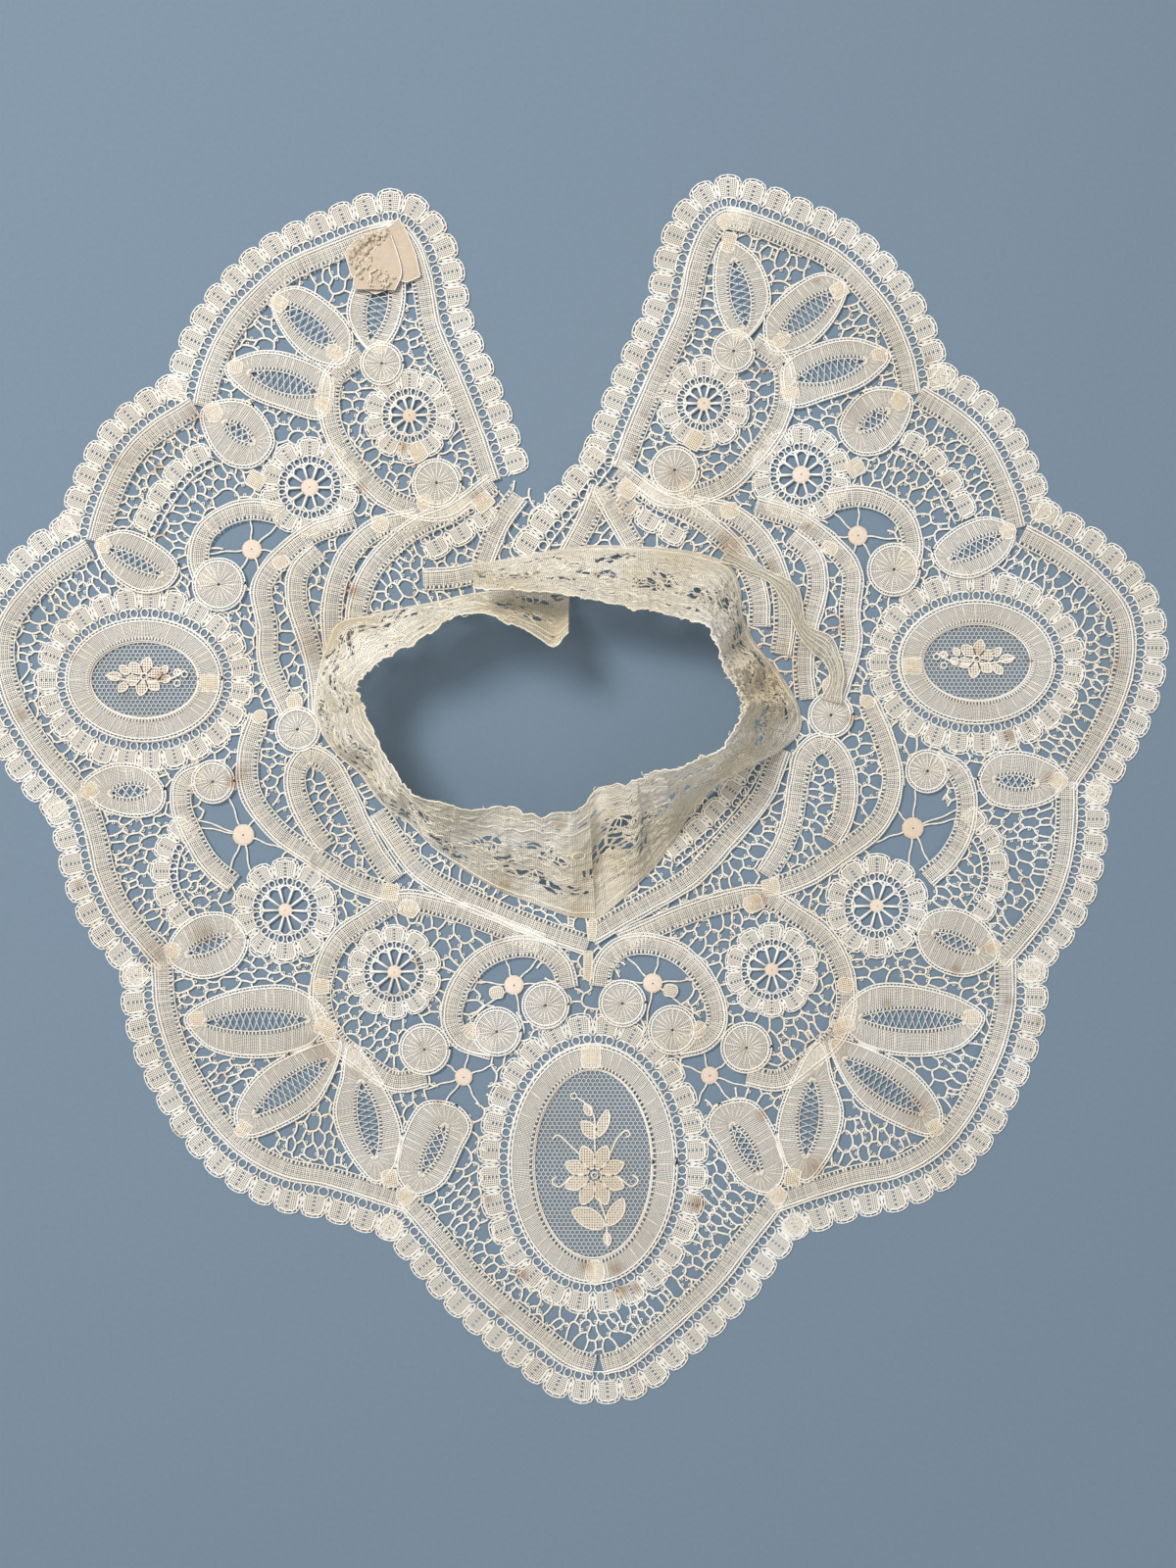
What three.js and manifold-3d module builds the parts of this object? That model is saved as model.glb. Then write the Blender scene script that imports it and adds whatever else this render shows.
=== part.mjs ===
// A tape lace collar lying flat on a table, centre front towards -Y and open at the centre back.
// A woven tape is laid out in lobes, scrolls and leaves and joined by thin bars. A scalloped braid
// edges it, three net medallions fill the lobes, and a sheer stand band leans in round the neck.
// Units are millimetres. +Z is up from the table, and the collar's under side is at z = 0.

import * as THREE from 'three';
import { mergeVertices } from 'three/addons/utils/BufferGeometryUtils.js';
import Module from 'manifold-3d';

const wasm = await Module();
wasm.setup();

// Driving dimensions.
const TAPE_WIDTH = 7.7;
const BRAID_DEPTH = 11.5;
const SCALLOP_PITCH = 9.3;
const SCALLOP_NOTCH = 2.3;
const CLOTH = 1.0;
const SEAM_GAP = 0.3;
const TAPE_STEP = 15;
const BRIDE_WIDTH = 1.2;
const BRIDE_CELL = 7.8;
const MOST_GAPS = 96;
const OPEN_SHARE = 0.6;
const PANEL_RIM = 1.8;
const FLOWER_RELIEF = 0.6;
const BAND_HEIGHT = 45;
const BAND_WALL = 1.0;
const CAMERA_HEIGHT = 560;

// Places are read off a picture taken straight down: [x, y] in its pixels, y running down.
const MM_PER_PIXEL = 0.35;
const PICTURE_CENTRE = [600, 800];
const ORIGIN_SHIFT = [8.418, 3.3];

// How the collar was laid down: its middle line leans, and its left half lies a little lower.
const MIDDLE_LINE = [[170, 573], [420, 568], [540, 566], [675, 572], [760, 578], [845, 590], [925, 593],
  [1060, 597], [1170, 602], [1400, 611]];
const LEFT_LOBE = { from: 1000, narrowing: 0.07 };
const LEFT_HALF_DROP = [[170, 15], [413, 12], [547, 14], [675, 18], [845, 7], [1000, 2], [1420, 0]];

// The levels of the cloth: the ground lies on the table, the tape is laid on it, the patch on that.
const GROUND_LEVEL = 0;
const TAPE_LEVEL = GROUND_LEVEL + CLOTH + SEAM_GAP;
const PATCH_LEVEL = TAPE_LEVEL + CLOTH + SEAM_GAP;

// The right half's contour tape, middle of the tape, going round clockwise with the outside on its left.
const CONTOUR = {
  v: [[634, 480], [653, 430], [676, 376], [700, 322], [712, 270], [724, 240], [740, 224], [765, 229]],
  a: [[740, 224], [765, 229], [800, 243], [851, 268], [897, 317], [920, 366], [928, 404]],
  b: [[936, 404], [978, 432], [1000, 455], [1015, 482], [1027, 512], [1034, 540]],
  c: [[1042, 546], [1080, 567], [1114, 593], [1140, 624], [1147, 655], [1142, 694], [1130, 727], [1111, 762],
    [1086, 801]],
  d: [[1087, 798], [1086, 845], [1080, 884], [1064, 924], [1040, 955], [1018, 981]],
  e: [[1024, 978], [1024, 1022], [1014, 1065], [1000, 1098], [980, 1136], [952, 1168], [913, 1190],
    [870, 1199],
    [822, 1214], [788, 1226]],
  f: [[794, 1220], [758, 1265], [732, 1299], [700, 1331], [664, 1362], [636, 1384], [614, 1391]],
};

// Closed loops of tape round a slit: the leaves of the palmettes, and the eyes at the notches.
const LEAVES = {
  a1: { rim: [[738, 246], [727, 290], [738, 334], [757, 348], [775, 332], [786, 306], [770, 262]],
    slit: [[750, 274], [760, 330]] },
  a2: { rim: [[780, 326], [817, 288], [842, 280], [863, 292], [854, 322], [824, 355], [786, 362]],
    slit: [[801, 340], [846, 303]] },
  a3: { rim: [[798, 374], [840, 350], [876, 347], [908, 364], [886, 391], [845, 408], [806, 416]],
    slit: [[818, 388], [876, 371]] },
  e1: { rim: [[856, 1036], [886, 1006], [930, 1004], [984, 1020], [1004, 1037], [980, 1068], [924, 1077],
    [872, 1062]], slit: [[884, 1038], [976, 1041]] },
  e2: { rim: [[846, 1058], [898, 1072], [938, 1098], [961, 1136], [952, 1158], [912, 1147], [872, 1120]],
    slit: [[866, 1084], [934, 1131]] },
  e3: { rim: [[836, 1060], [800, 1116], [791, 1160], [804, 1194], [822, 1206], [848, 1176], [860, 1135],
    [850, 1100]], slit: [[828, 1108], [822, 1172]] },
};
const EYES = {
  a: { rim: [[876, 403], [904, 396], [930, 408], [922, 440], [900, 463], [872, 464], [854, 440]],
    slit: [[881, 437], [900, 424]] },
  b: { rim: [[950, 564], [974, 539], [1006, 528], [1034, 540], [1026, 568], [992, 590], [962, 584]],
    slit: [[974, 570], [1016, 549]] },
  c: { rim: [[996, 796], [1012, 771], [1048, 768], [1086, 790], [1076, 814], [1036, 826], [1008, 818]],
    slit: [[1020, 796], [1050, 799]] },
  d: { rim: [[933, 954], [948, 930], [982, 928], [1012, 952], [1018, 978], [984, 996], [948, 984]],
    slit: [[958, 954], [990, 968]] },
  f: { rim: [[732, 1126], [766, 1122], [788, 1148], [802, 1196], [786, 1218], [756, 1208], [732, 1170],
    [720, 1146]], slit: [[750, 1152], [772, 1190]] },
};

// Open lengths of tape inside the outline.
const TAPES = {
  scrollA: [[768, 350], [796, 372], [800, 408], [790, 438], [768, 468], [740, 494], [708, 507], [676, 507],
    [655, 492]],
  scrollB: [[844, 512], [876, 507], [906, 516], [924, 534], [930, 560], [922, 584]],
  scrollC: [[612, 1006], [616, 984], [632, 967], [656, 962], [686, 969], [710, 988], [727, 1016], [731, 1042],
    [720, 1059], [692, 1068]],
  scrollE: [[658, 950], [690, 936], [730, 922], [776, 914], [812, 934], [840, 954], [858, 986], [863, 1022],
    [852, 1056], [826, 1080], [794, 1101], [762, 1096]],
  neckBack: [[630, 480], [671, 510], [702, 522], [726, 539], [748, 559], [764, 582]],
  yokeBackInner: [[706, 517], [746, 526], [772, 547], [788, 572], [798, 604]],
  yokeBackOuter: [[770, 517], [812, 531], [849, 559], [868, 584], [866, 624], [868, 656], [852, 712]],
  yokeBackMiddle: [[814, 553], [834, 573], [838, 596], [822, 641]],
  yokeFrontOuter: [[884, 715], [902, 758], [910, 798], [896, 838], [859, 869], [825, 892], [788, 906]],
  yokeFrontLoop: [[780, 893], [798, 864], [808, 835], [814, 796], [822, 768], [840, 758], [858, 776],
    [864, 806], [858, 838], [846, 858]],
  neckFront: [[796, 764], [777, 813], [743, 854], [706, 893], [658, 922], [630, 938], [607, 952]],
  sideHook: [[952, 776], [974, 786], [985, 812], [982, 846], [966, 876], [944, 896]],
};

// The left half's neck tape was laid lower than the right half's, so it has places of its own.
const NECK_FRONT_LEFT = [[386, 828], [404, 856], [430, 889], [474, 914], [514, 932], [553, 948], [592, 963]];

// Tape wound up into flat coils: [x, y, radius].
const COILS = {
  scrollA: [[748, 360, 22], [688, 481, 25]],
  scrollB: [[911, 582, 27]],
  scrollC: [[635, 1023, 24], [686, 1050, 25]],
  scrollE: [[761, 1068, 26]],
  yoke: [[847, 730, 23]],
  sideHook: [[945, 787, 22]],
};

// Rosettes of gathered braid: [x, y, outer radius, radius of the hole, radius of the woven knob].
const ROSETTES = {
  a: [718, 413, 46, 20, 7],
  b: [817, 485, 50, 24, 9],
  d: [894, 924, 52, 25, 7],
  e: [787, 989, 47, 24, 7],
};
const ROSETTE_PETALS = 10;
const ROSETTE_SPOKES = 6;
const SPOKE_WIDTH = 1.1;

// Wheels of bars round a woven knob: [x, y, knob radius, opening radius] and where the bars end.
const WHEELS = {
  b: { hub: [875, 547, 10, 38],
    ends: [[846, 520], [876, 518], [918, 551], [896, 580], [866, 580], [842, 550]] },
  d: { hub: [931, 845, 11, 47],
    ends: [[934, 800], [978, 826], [974, 836], [949, 884], [926, 890], [896, 858], [908, 820]] },
  f1: { hub: [666, 1003, 10, 36],
    ends: [[640, 976], [672, 978], [708, 999], [712, 1036], [659, 1048], [626, 1000]] },
  f2: { hub: [724, 1097, 9, 32],
    ends: [[716, 1068], [740, 1084], [760, 1108], [748, 1126], [712, 1124], [696, 1086]] },
};

// Inner lengths of the scalloped braid, its sewn edge, with the scallops on its left.
const INNER_BRAIDS = {
  b: [[912, 462], [934, 474], [956, 502], [974, 536]],
  d: [[972, 838], [996, 866], [1000, 898], [982, 930]],
  neckBack: [[706, 537], [668, 516], [638, 494]],
  neckFront: [[690, 884], [728, 852], [760, 814], [780, 780]],
};
const INNER_BRAID_DEPTH = 9.5;

// Net medallions: centre, and half sizes of the net, of the tape ring and of the braid round it.
const MEDALLIONS = {
  side: { centre: [996, 676], net: [56, 40], ring: [80, 63], braid: [112, 95], scallops: 23 },
  front: { centre: [605, 1187], net: [61, 97], ring: [86, 122], braid: [120, 157], scallops: 28 },
};

// Seams between the panels of ground, read off under the tapes. Each runs from one outline to the next.
const SEAMS = {
  backToYoke: [[634, 480], [680, 508], [722, 506], [765, 513], [815, 535], [860, 562], [893, 592]],
  backToSide: [[893, 592], [932, 592], [985, 578], [1040, 543]],
  sideToYoke: [[893, 592], [867, 606], [872, 640], [862, 690], [895, 740], [914, 790], [910, 816], [885, 850],
    [850, 876]],
  sideToFront: [[850, 876], [935, 962], [952, 986], [1022, 983]],
  frontToYoke: [[850, 876], [800, 914]],
  frontToCentre: [[800, 914], [846, 960], [862, 1002], [854, 1060], [800, 1101], [768, 1120], [762, 1165],
    [776, 1210], [790, 1226]],
  centreToYoke: [[800, 914], [730, 920], [655, 944], [607, 962]],
};

// The stand band, a row for each place along it, from the centre front to the back:
// foot x, foot y, top edge x, top edge y, and how far the cloth bulges between them in mm.
const BAND_RIGHT = [
  [607, 940, 599, 820, 0], [625, 926, 612, 805, 2], [650, 903, 640, 801, -1.5], [672, 880, 657, 793, 2],
  [690, 855, 677, 788, 0], [707, 828, 701, 781, 2.5], [732, 802, 718, 773, 0], [762, 784, 738, 764, 2],
  [795, 767, 746, 750, -1], [816, 746, 755, 734, 3], [815, 722, 760, 717, 0], [802, 697, 755, 704, 3.5],
  [784, 673, 744, 688, -1], [768, 652, 735, 668, 3], [758, 628, 729, 650, 0], [755, 600, 722, 638, 2.5],
  [742, 576, 701, 632, 0], [705, 563, 680, 625, 1.5], [655, 558, 652, 620, 0], [605, 557, 612, 613, 1],
  [560, 562, 575, 606, 0], [520, 570, 530, 602, 0.5], [482, 575, 484, 600, 0],
];
const BAND_LEFT = [
  [597, 940, 592, 823, 0], [578, 934, 578, 830, 2], [550, 924, 553, 833, -1.5], [515, 911, 517, 824, 2],
  [474, 888, 479, 826, 0], [444, 866, 450, 820, 2.5], [418, 841, 418, 808, 0], [390, 820, 404, 788, 2],
  [367, 790, 391, 766, 0], [340, 765, 380, 742, 3], [320, 728, 370, 716, 0], [326, 688, 365, 698, 3],
  [333, 657, 379, 683, 0], [345, 636, 397, 670, 2.5], [374, 628, 417, 659, 0], [404, 622, 440, 645, 2],
  [440, 615, 464, 630, 0], [477, 607, 492, 626, 1], [510, 602, 516, 634, 0], [545, 600, 545, 647, 0],
  [580, 600, 577, 660, 0],
];
const BAND_LEVELS = [0, 0.35, 0.7, 1];

// The folded scrap of ribbon sewn over the left back tip.
const PATCH = [[357, 264], [382, 240], [410, 234], [420, 258], [430, 286], [410, 297], [384, 304], [362, 290]];

const SIDES = { right: 1, left: -1 };
const LINEN = '#dcd6c8';
const CREAM = '#e6dcc4';
const ECRU = '#cdbf9f';

// A value read off a table of [place, value] rows, straight between the rows.
function valueAt(rows, place) {
  let before = rows[0];
  for (const row of rows) {
    if (place <= row[0]) {
      const span = row[0] - before[0] || 1;
      return before[1] + (row[1] - before[1]) * Math.max(0, place - before[0]) / span;
    }
    before = row;
  }
  return before[1];
}

// A place in the picture as a point on the table, in millimetres.
function onTable(pixel) {
  const x = (pixel[0] - PICTURE_CENTRE[0]) * MM_PER_PIXEL + ORIGIN_SHIFT[0];
  const y = (PICTURE_CENTRE[1] - pixel[1]) * MM_PER_PIXEL + ORIGIN_SHIFT[1];
  return new THREE.Vector2(x, y);
}

// The same place on the collar's right half, or on its left half.
function place(pixel, side) {
  if (side > 0) return onTable(pixel);
  const [x, y] = pixel;
  const across = x - Math.max(0, x - LEFT_LOBE.from) * LEFT_LOBE.narrowing;
  return onTable([2 * valueAt(MIDDLE_LINE, y) - across, y + valueAt(LEFT_HALF_DROP, y)]);
}

// A smooth line through a few places, as points about one step apart.
function smooth(pixels, side, step = TAPE_STEP) {
  const corners = pixels.map((pixel) => place(pixel, side));
  const spots = corners.map((p) => new THREE.Vector3(p.x, p.y, 0));
  const curve = new THREE.CatmullRomCurve3(spots, false, 'centripetal');
  const count = Math.max(2, Math.round(curve.getLength() / step));
  return curve.getSpacedPoints(count).map((p) => new THREE.Vector2(p.x, p.y));
}

// The line moved to its left by a distance, with mitred corners.
function shifted(line, distance, closed = false) {
  const count = line.length;
  return line.map((point, i) => {
    const before = closed ? line[(i + count - 1) % count] : line[Math.max(0, i - 1)];
    const after = closed ? line[(i + 1) % count] : line[Math.min(count - 1, i + 1)];
    const ahead = after.clone().sub(point);
    const behind = point.clone().sub(before);
    if (ahead.length() < 1e-9) ahead.copy(behind);
    if (behind.length() < 1e-9) behind.copy(ahead);
    ahead.normalize();
    behind.normalize();
    const along = ahead.clone().add(behind).normalize();
    const mitre = 1 / Math.max(0.5, Math.abs(along.dot(ahead)));
    return new THREE.Vector2(point.x - along.y * distance * mitre, point.y + along.x * distance * mitre);
  });
}

// An outline turned so that it runs counter-clockwise.
function turned(outline) {
  return THREE.ShapeUtils.isClockWise(outline) ? outline.slice().reverse() : outline;
}

// A counter-clockwise outline made larger all round, or smaller with a negative distance.
function grown(outline, distance) {
  return distance === 0 ? outline : shifted(outline, -distance, true);
}

function ribbon(line, toLeft, toRight) {
  return turned([...shifted(line, toLeft), ...shifted(line, -toRight).reverse()]);
}

function ellipse(centre, halfX, halfY, count, lean = 0) {
  const points = [];
  for (let i = 0; i < count; i += 1) {
    const angle = 2 * Math.PI * i / count;
    const spot = new THREE.Vector2(halfX * Math.cos(angle), halfY * Math.sin(angle));
    points.push(spot.rotateAround(new THREE.Vector2(), lean).add(centre));
  }
  return points;
}

// A flat piece of cloth: an outline, with openings, between two heights.
function slab(outline, bottom, top, openings = []) {
  const shape = new THREE.Shape(outline);
  for (const opening of openings) shape.holes.push(new THREE.Path(opening));
  const geometry = new THREE.ExtrudeGeometry(shape, { depth: top - bottom, bevelEnabled: false, steps: 1 });
  geometry.translate(0, 0, bottom);
  return solidOf(geometry);
}

function solidOf(geometry) {
  geometry.deleteAttribute('normal');
  geometry.deleteAttribute('uv');
  const merged = mergeVertices(geometry, 1e-5);
  return new wasm.Manifold(new wasm.Mesh({
    numProp: 3,
    vertProperties: new Float32Array(merged.attributes.position.array),
    triVerts: new Uint32Array(merged.index.array),
  }));
}

function joined(solids) {
  return solids.length === 1 ? solids[0] : wasm.Manifold.union(solids);
}

// The largest of the bodies that a cut has left.
function largestBody(solid) {
  let best = null;
  for (const body of solid.decompose()) {
    if (!best || body.volume() > best.volume()) best = body;
  }
  return best;
}

// The scalloped braid along a line: its sewn edge is on the line, its scallops stand to the left.
function scallopedStrip(line, side, inner, depth, notch = SCALLOP_NOTCH, pitch = SCALLOP_PITCH) {
  const spots = line.map((p) => new THREE.Vector3(p.x, p.y, 0));
  const curve = new THREE.CatmullRomCurve3(spots, false, 'centripetal');
  const middle = shifted(line, side * (inner + depth * 0.8));
  let length = 0;
  for (let i = 1; i < middle.length; i += 1) length += middle[i].distanceTo(middle[i - 1]);
  const count = Math.max(2, Math.round(length / pitch));
  const fine = curve.getSpacedPoints(line.length * 4).map((p) => new THREE.Vector2(p.x, p.y));
  const outer = shifted(fine, side * (inner + depth));
  const walk = [0];
  for (let i = 1; i < outer.length; i += 1) walk.push(walk[i - 1] + outer[i].distanceTo(outer[i - 1]));
  const total = walk[walk.length - 1];
  const at = (share, inset) => {
    const want = share * total;
    let i = 1;
    while (i < walk.length - 1 && walk[i] < want) i += 1;
    const t = Math.min(1, Math.max(0, (want - walk[i - 1]) / (walk[i] - walk[i - 1] || 1)));
    const edge = outer[i - 1].clone().lerp(outer[i], t);
    const root = fine[i - 1].clone().lerp(fine[i], t);
    const inward = root.sub(edge).normalize();
    return edge.addScaledVector(inward, inset);
  };
  const rim = [at(0, notch)];
  for (let k = 0; k < count; k += 1) {
    rim.push(at((k + 0.24) / count, 0));
    rim.push(at((k + 0.76) / count, 0));
    rim.push(at((k + 1) / count, notch));
  }
  return turned([...rim, ...shifted(line, side * inner).reverse()]);
}

// A loop of tape round a slit, as an outline and its opening.
function loopOfTape(loop, side) {
  const corners = loop.rim.map((pixel) => place(pixel, side));
  const spots = corners.map((p) => new THREE.Vector3(p.x, p.y, 0));
  const curve = new THREE.CatmullRomCurve3(spots, true, 'centripetal');
  const rim = turned(curve.getSpacedPoints(10).slice(0, 10).map((p) => new THREE.Vector2(p.x, p.y)));
  const [from, to] = loop.slit.map((pixel) => place(pixel, side));
  const along = to.clone().sub(from);
  const centre = from.clone().add(to).multiplyScalar(0.5);
  const slit = turned(ellipse(centre, along.length() / 2 + 1.5, 2.6, 6, along.angle()));
  return { outline: rim, openings: [slit] };
}

// A rosette: ten petals of braid gathered round a hole, with a knob held on bars in the middle.
function rosette(row, side) {
  const centre = place(row, side);
  const [outer, hole, knob] = row.slice(2).map((radius) => radius * MM_PER_PIXEL);
  const outline = [];
  for (let k = 0; k < ROSETTE_PETALS; k += 1) {
    for (const [share, radius] of [[0, outer - 1.6], [0.5, outer + 0.4]]) {
      const angle = 2 * Math.PI * (k + share) / ROSETTE_PETALS;
      outline.push(new THREE.Vector2(centre.x + radius * Math.cos(angle), centre.y + radius * Math.sin(angle)));
    }
  }
  const openings = [];
  for (let k = 0; k < ROSETTE_SPOKES; k += 1) {
    const from = 2 * Math.PI * k / ROSETTE_SPOKES;
    const to = 2 * Math.PI * (k + 1) / ROSETTE_SPOKES;
    const half = SPOKE_WIDTH / 2 / hole;
    const gap = [];
    for (const [radius, angle] of [[knob, (from + to) / 2], [hole, from + half], [hole, to - half]]) {
      gap.push(new THREE.Vector2(centre.x + radius * Math.cos(angle), centre.y + radius * Math.sin(angle)));
    }
    openings.push(gap);
  }
  return { outline, openings, centre, hole };
}

// Laying out the flat pieces. Each flat piece is a list of outlines with openings, joined into one body.
const flat = (outline, openings = []) => ({ outline: turned(outline), openings });
const tapeRoute = (name, side) => (name === 'neckFront' && side < 0
  ? smooth(NECK_FRONT_LEFT, 1)
  : smooth(TAPES[name], side));
const tape = (name, side) => flat(ribbon(tapeRoute(name, side), TAPE_WIDTH / 2, TAPE_WIDTH / 2));
const disc = (centre, radius) => flat(ellipse(centre, radius, radius, 12));
const coils = (name, side) => COILS[name].map(
  ([x, y, radius]) => disc(place([x, y], side), radius * MM_PER_PIXEL),
);
const contour = (name, side) => flat(ribbon(smooth(CONTOUR[name], side), TAPE_WIDTH / 2, TAPE_WIDTH / 2));
const innerBraid = (name, side) => {
  const sewn = smooth(INNER_BRAIDS[name], side, 6);
  return flat(scallopedStrip(sewn, side, 0, INNER_BRAID_DEPTH, 1.8));
};

function layTapes() {
  const laid = [];
  const both = (name, make, colour) => {
    for (const [sideName, side] of Object.entries(SIDES)) {
      laid.push({ name: `${name}_${sideName}`, flats: make(side), colour });
    }
  };
  both('contour_tape_back', (side) => [...['v', 'a', 'b'].map((lobe) => contour(lobe, side)),
    loopOfTape(EYES.a, side), loopOfTape(EYES.b, side)], LINEN);
  laid.push({
    name: 'contour_tape_front',
    colour: LINEN,
    flats: Object.values(SIDES).flatMap((side) => [...['c', 'd', 'e', 'f'].map((lobe) => contour(lobe, side)),
      ...['c', 'd', 'f'].map((eye) => loopOfTape(EYES[eye], side))]),
  });
  for (const [name, sides] of [['side', SIDES], ['front', { middle: 1 }]]) {
    for (const [sideName, side] of Object.entries(sides)) {
      const { centre, net, ring } = MEDALLIONS[name];
      const middle = place(centre, side);
      const outline = ellipse(middle, ring[0] * MM_PER_PIXEL, ring[1] * MM_PER_PIXEL, 20);
      const opening = ellipse(middle, net[0] * MM_PER_PIXEL, net[1] * MM_PER_PIXEL, 16);
      const nodeName = name === 'front' ? 'medallion_ring_front' : `medallion_ring_${sideName}`;
      laid.push({ name: nodeName, flats: [flat(outline, [opening])], colour: LINEN });
    }
  }
  both('rosette_a', (side) => [rosette(ROSETTES.a, side)], CREAM);
  both('rosette_b', (side) => [rosette(ROSETTES.b, side)], CREAM);
  both('rosette_d', (side) => [rosette(ROSETTES.d, side)], CREAM);
  both('rosette_e', (side) => [rosette(ROSETTES.e, side)], CREAM);
  both('scroll_c', (side) => [tape('scrollC', side), ...coils('scrollC', side)], LINEN);
  both('scroll_b', (side) => [tape('scrollB', side), ...coils('scrollB', side)], LINEN);
  both('palmette_back', (side) => [tape('scrollA', side), ...coils('scrollA', side),
    ...['a1', 'a2', 'a3'].map((leaf) => loopOfTape(LEAVES[leaf], side))], LINEN);
  both('palmette_front', (side) => [tape('scrollE', side), ...coils('scrollE', side),
    ...['e1', 'e2', 'e3'].map((leaf) => loopOfTape(LEAVES[leaf], side))], LINEN);
  both('side_hook', (side) => [tape('sideHook', side), ...coils('sideHook', side)], LINEN);
  both('yoke_tape_front', (side) => [tape('yokeFrontOuter', side), tape('yokeFrontLoop', side)], LINEN);
  both('yoke_tape_back', (side) => [tape('yokeBackOuter', side), tape('yokeBackMiddle', side),
    ...coils('yoke', side)], LINEN);
  both('neck_tape_front', (side) => [tape('neckFront', side),
    ...(side > 0 ? [innerBraid('neckFront', side)] : [])], LINEN);
  both('neck_tape_back', (side) => [tape('neckBack', side), tape('yokeBackInner', side),
    innerBraid('neckBack', side)], LINEN);
  both('inner_braid_b', (side) => [innerBraid('b', side)], CREAM);
  both('inner_braid_d', (side) => [innerBraid('d', side)], CREAM);
  return laid;
}

function flatsAsSolid(flats, bottom, top, grow = 0) {
  return joined(flats.map(({ outline, openings }) => slab(grown(outline, grow), bottom, top, openings)));
}

// The foot of the stand band as a strip on the table, wide enough to keep the tapes clear of it.
function bandFoot(rows) {
  const line = rows.map(([x, y]) => onTable([x, y]));
  return flat(ribbon(line, BAND_WALL / 2 + SEAM_GAP + 0.2, BAND_WALL / 2 + SEAM_GAP + 0.2));
}

// The stand band: a wall of cloth whose foot is on the ground and whose top leans in over the neck.
function standBand(rows) {
  const foot = rows.map(([x, y]) => onTable([x, y]));
  const sections = rows.map(([, , topX, topY, bulge], i) => {
    const seen = onTable([topX, topY]);
    const centre = onTable(PICTURE_CENTRE);
    let height = BAND_HEIGHT * 0.8;
    let top = seen;
    for (let pass = 0; pass < 4; pass += 1) {
      top = centre.clone().lerp(seen, 1 - height / CAMERA_HEIGHT);
      const lean = Math.min(BAND_HEIGHT * 0.97, top.distanceTo(foot[i]));
      height = Math.sqrt(BAND_HEIGHT ** 2 - lean ** 2);
    }
    return { foot: foot[i], top, height, bulge };
  });
  const rings = sections.map(({ foot: low, top, height, bulge }, i) => {
    const before = sections[Math.max(0, i - 1)];
    const after = sections[Math.min(sections.length - 1, i + 1)];
    const across = after.foot.clone().sub(before.foot).normalize();
    const outward = new THREE.Vector3(-across.y, across.x, 0);
    const lean = new THREE.Vector3(top.x - low.x, top.y - low.y, height).normalize();
    const run = new THREE.Vector3(across.x, across.y, 0);
    const normal = new THREE.Vector3().crossVectors(run, lean).normalize();
    if (normal.dot(outward) < 0) normal.negate();
    return BAND_LEVELS.map((level) => {
      const spot = low.clone().lerp(top, level);
      const middle = new THREE.Vector3(spot.x, spot.y, TAPE_LEVEL + height * level);
      middle.addScaledVector(normal, bulge * Math.sin(Math.PI * level));
      const half = (level === 0 ? outward : normal).clone().multiplyScalar(BAND_WALL / 2);
      return [middle.clone().add(half), middle.clone().sub(half)];
    });
  });
  const levels = BAND_LEVELS.length;
  const vertices = rings.flatMap((ring) => [...ring.map(([a]) => a), ...ring.map(([, b]) => b).reverse()]);
  const loop = 2 * levels;
  const triangles = [];
  for (let i = 0; i + 1 < rings.length; i += 1) {
    for (let k = 0; k < loop; k += 1) {
      const a = i * loop + k;
      const b = i * loop + (k + 1) % loop;
      if (k < levels) triangles.push(a, b, b + loop, a, b + loop, a + loop);
      else triangles.push(a, b, a + loop, b, b + loop, a + loop);
    }
  }
  const last = (rings.length - 1) * loop;
  for (let k = 0; k + 1 < levels; k += 1) {
    const left = k;
    const right = loop - 1 - k;
    triangles.push(left, right, left + 1, left + 1, right, right - 1);
    triangles.push(last + left, last + left + 1, last + right, last + left + 1, last + right - 1, last + right);
  }
  const geometry = new THREE.BufferGeometry();
  const numbers = vertices.flatMap((v) => [v.x, v.y, v.z]);
  geometry.setAttribute('position', new THREE.Float32BufferAttribute(numbers, 3));
  geometry.setIndex(triangles);
  const position = geometry.attributes.position;
  let volume = 0;
  const [a, b, c] = [new THREE.Vector3(), new THREE.Vector3(), new THREE.Vector3()];
  for (let i = 0; i < triangles.length; i += 3) {
    a.fromBufferAttribute(position, triangles[i]);
    b.fromBufferAttribute(position, triangles[i + 1]);
    c.fromBufferAttribute(position, triangles[i + 2]);
    volume += a.dot(b.cross(c)) / 6;
  }
  if (volume < 0) geometry.setIndex(triangles.map((_, i) => triangles[i - (i % 3) + 2 - (i % 3)]));
  return geometry;
}

// Whether a point lies inside an outline.
function holds(outline, point) {
  let inside = false;
  for (let i = 0, j = outline.length - 1; i < outline.length; j = i, i += 1) {
    const [a, b] = [outline[i], outline[j]];
    if (a.y > point.y === b.y > point.y) continue;
    if (point.x < a.x + (b.x - a.x) * (point.y - a.y) / (b.y - a.y)) inside = !inside;
  }
  return inside;
}

// A number between -0.5 and 0.5 that depends only on a cell's row and column.
function scatter(i, j, salt) {
  const wave = Math.sin(i * 127.1 + j * 311.7 + salt * 74.7) * 43758.5453;
  return wave - Math.floor(wave) - 0.5;
}

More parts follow.
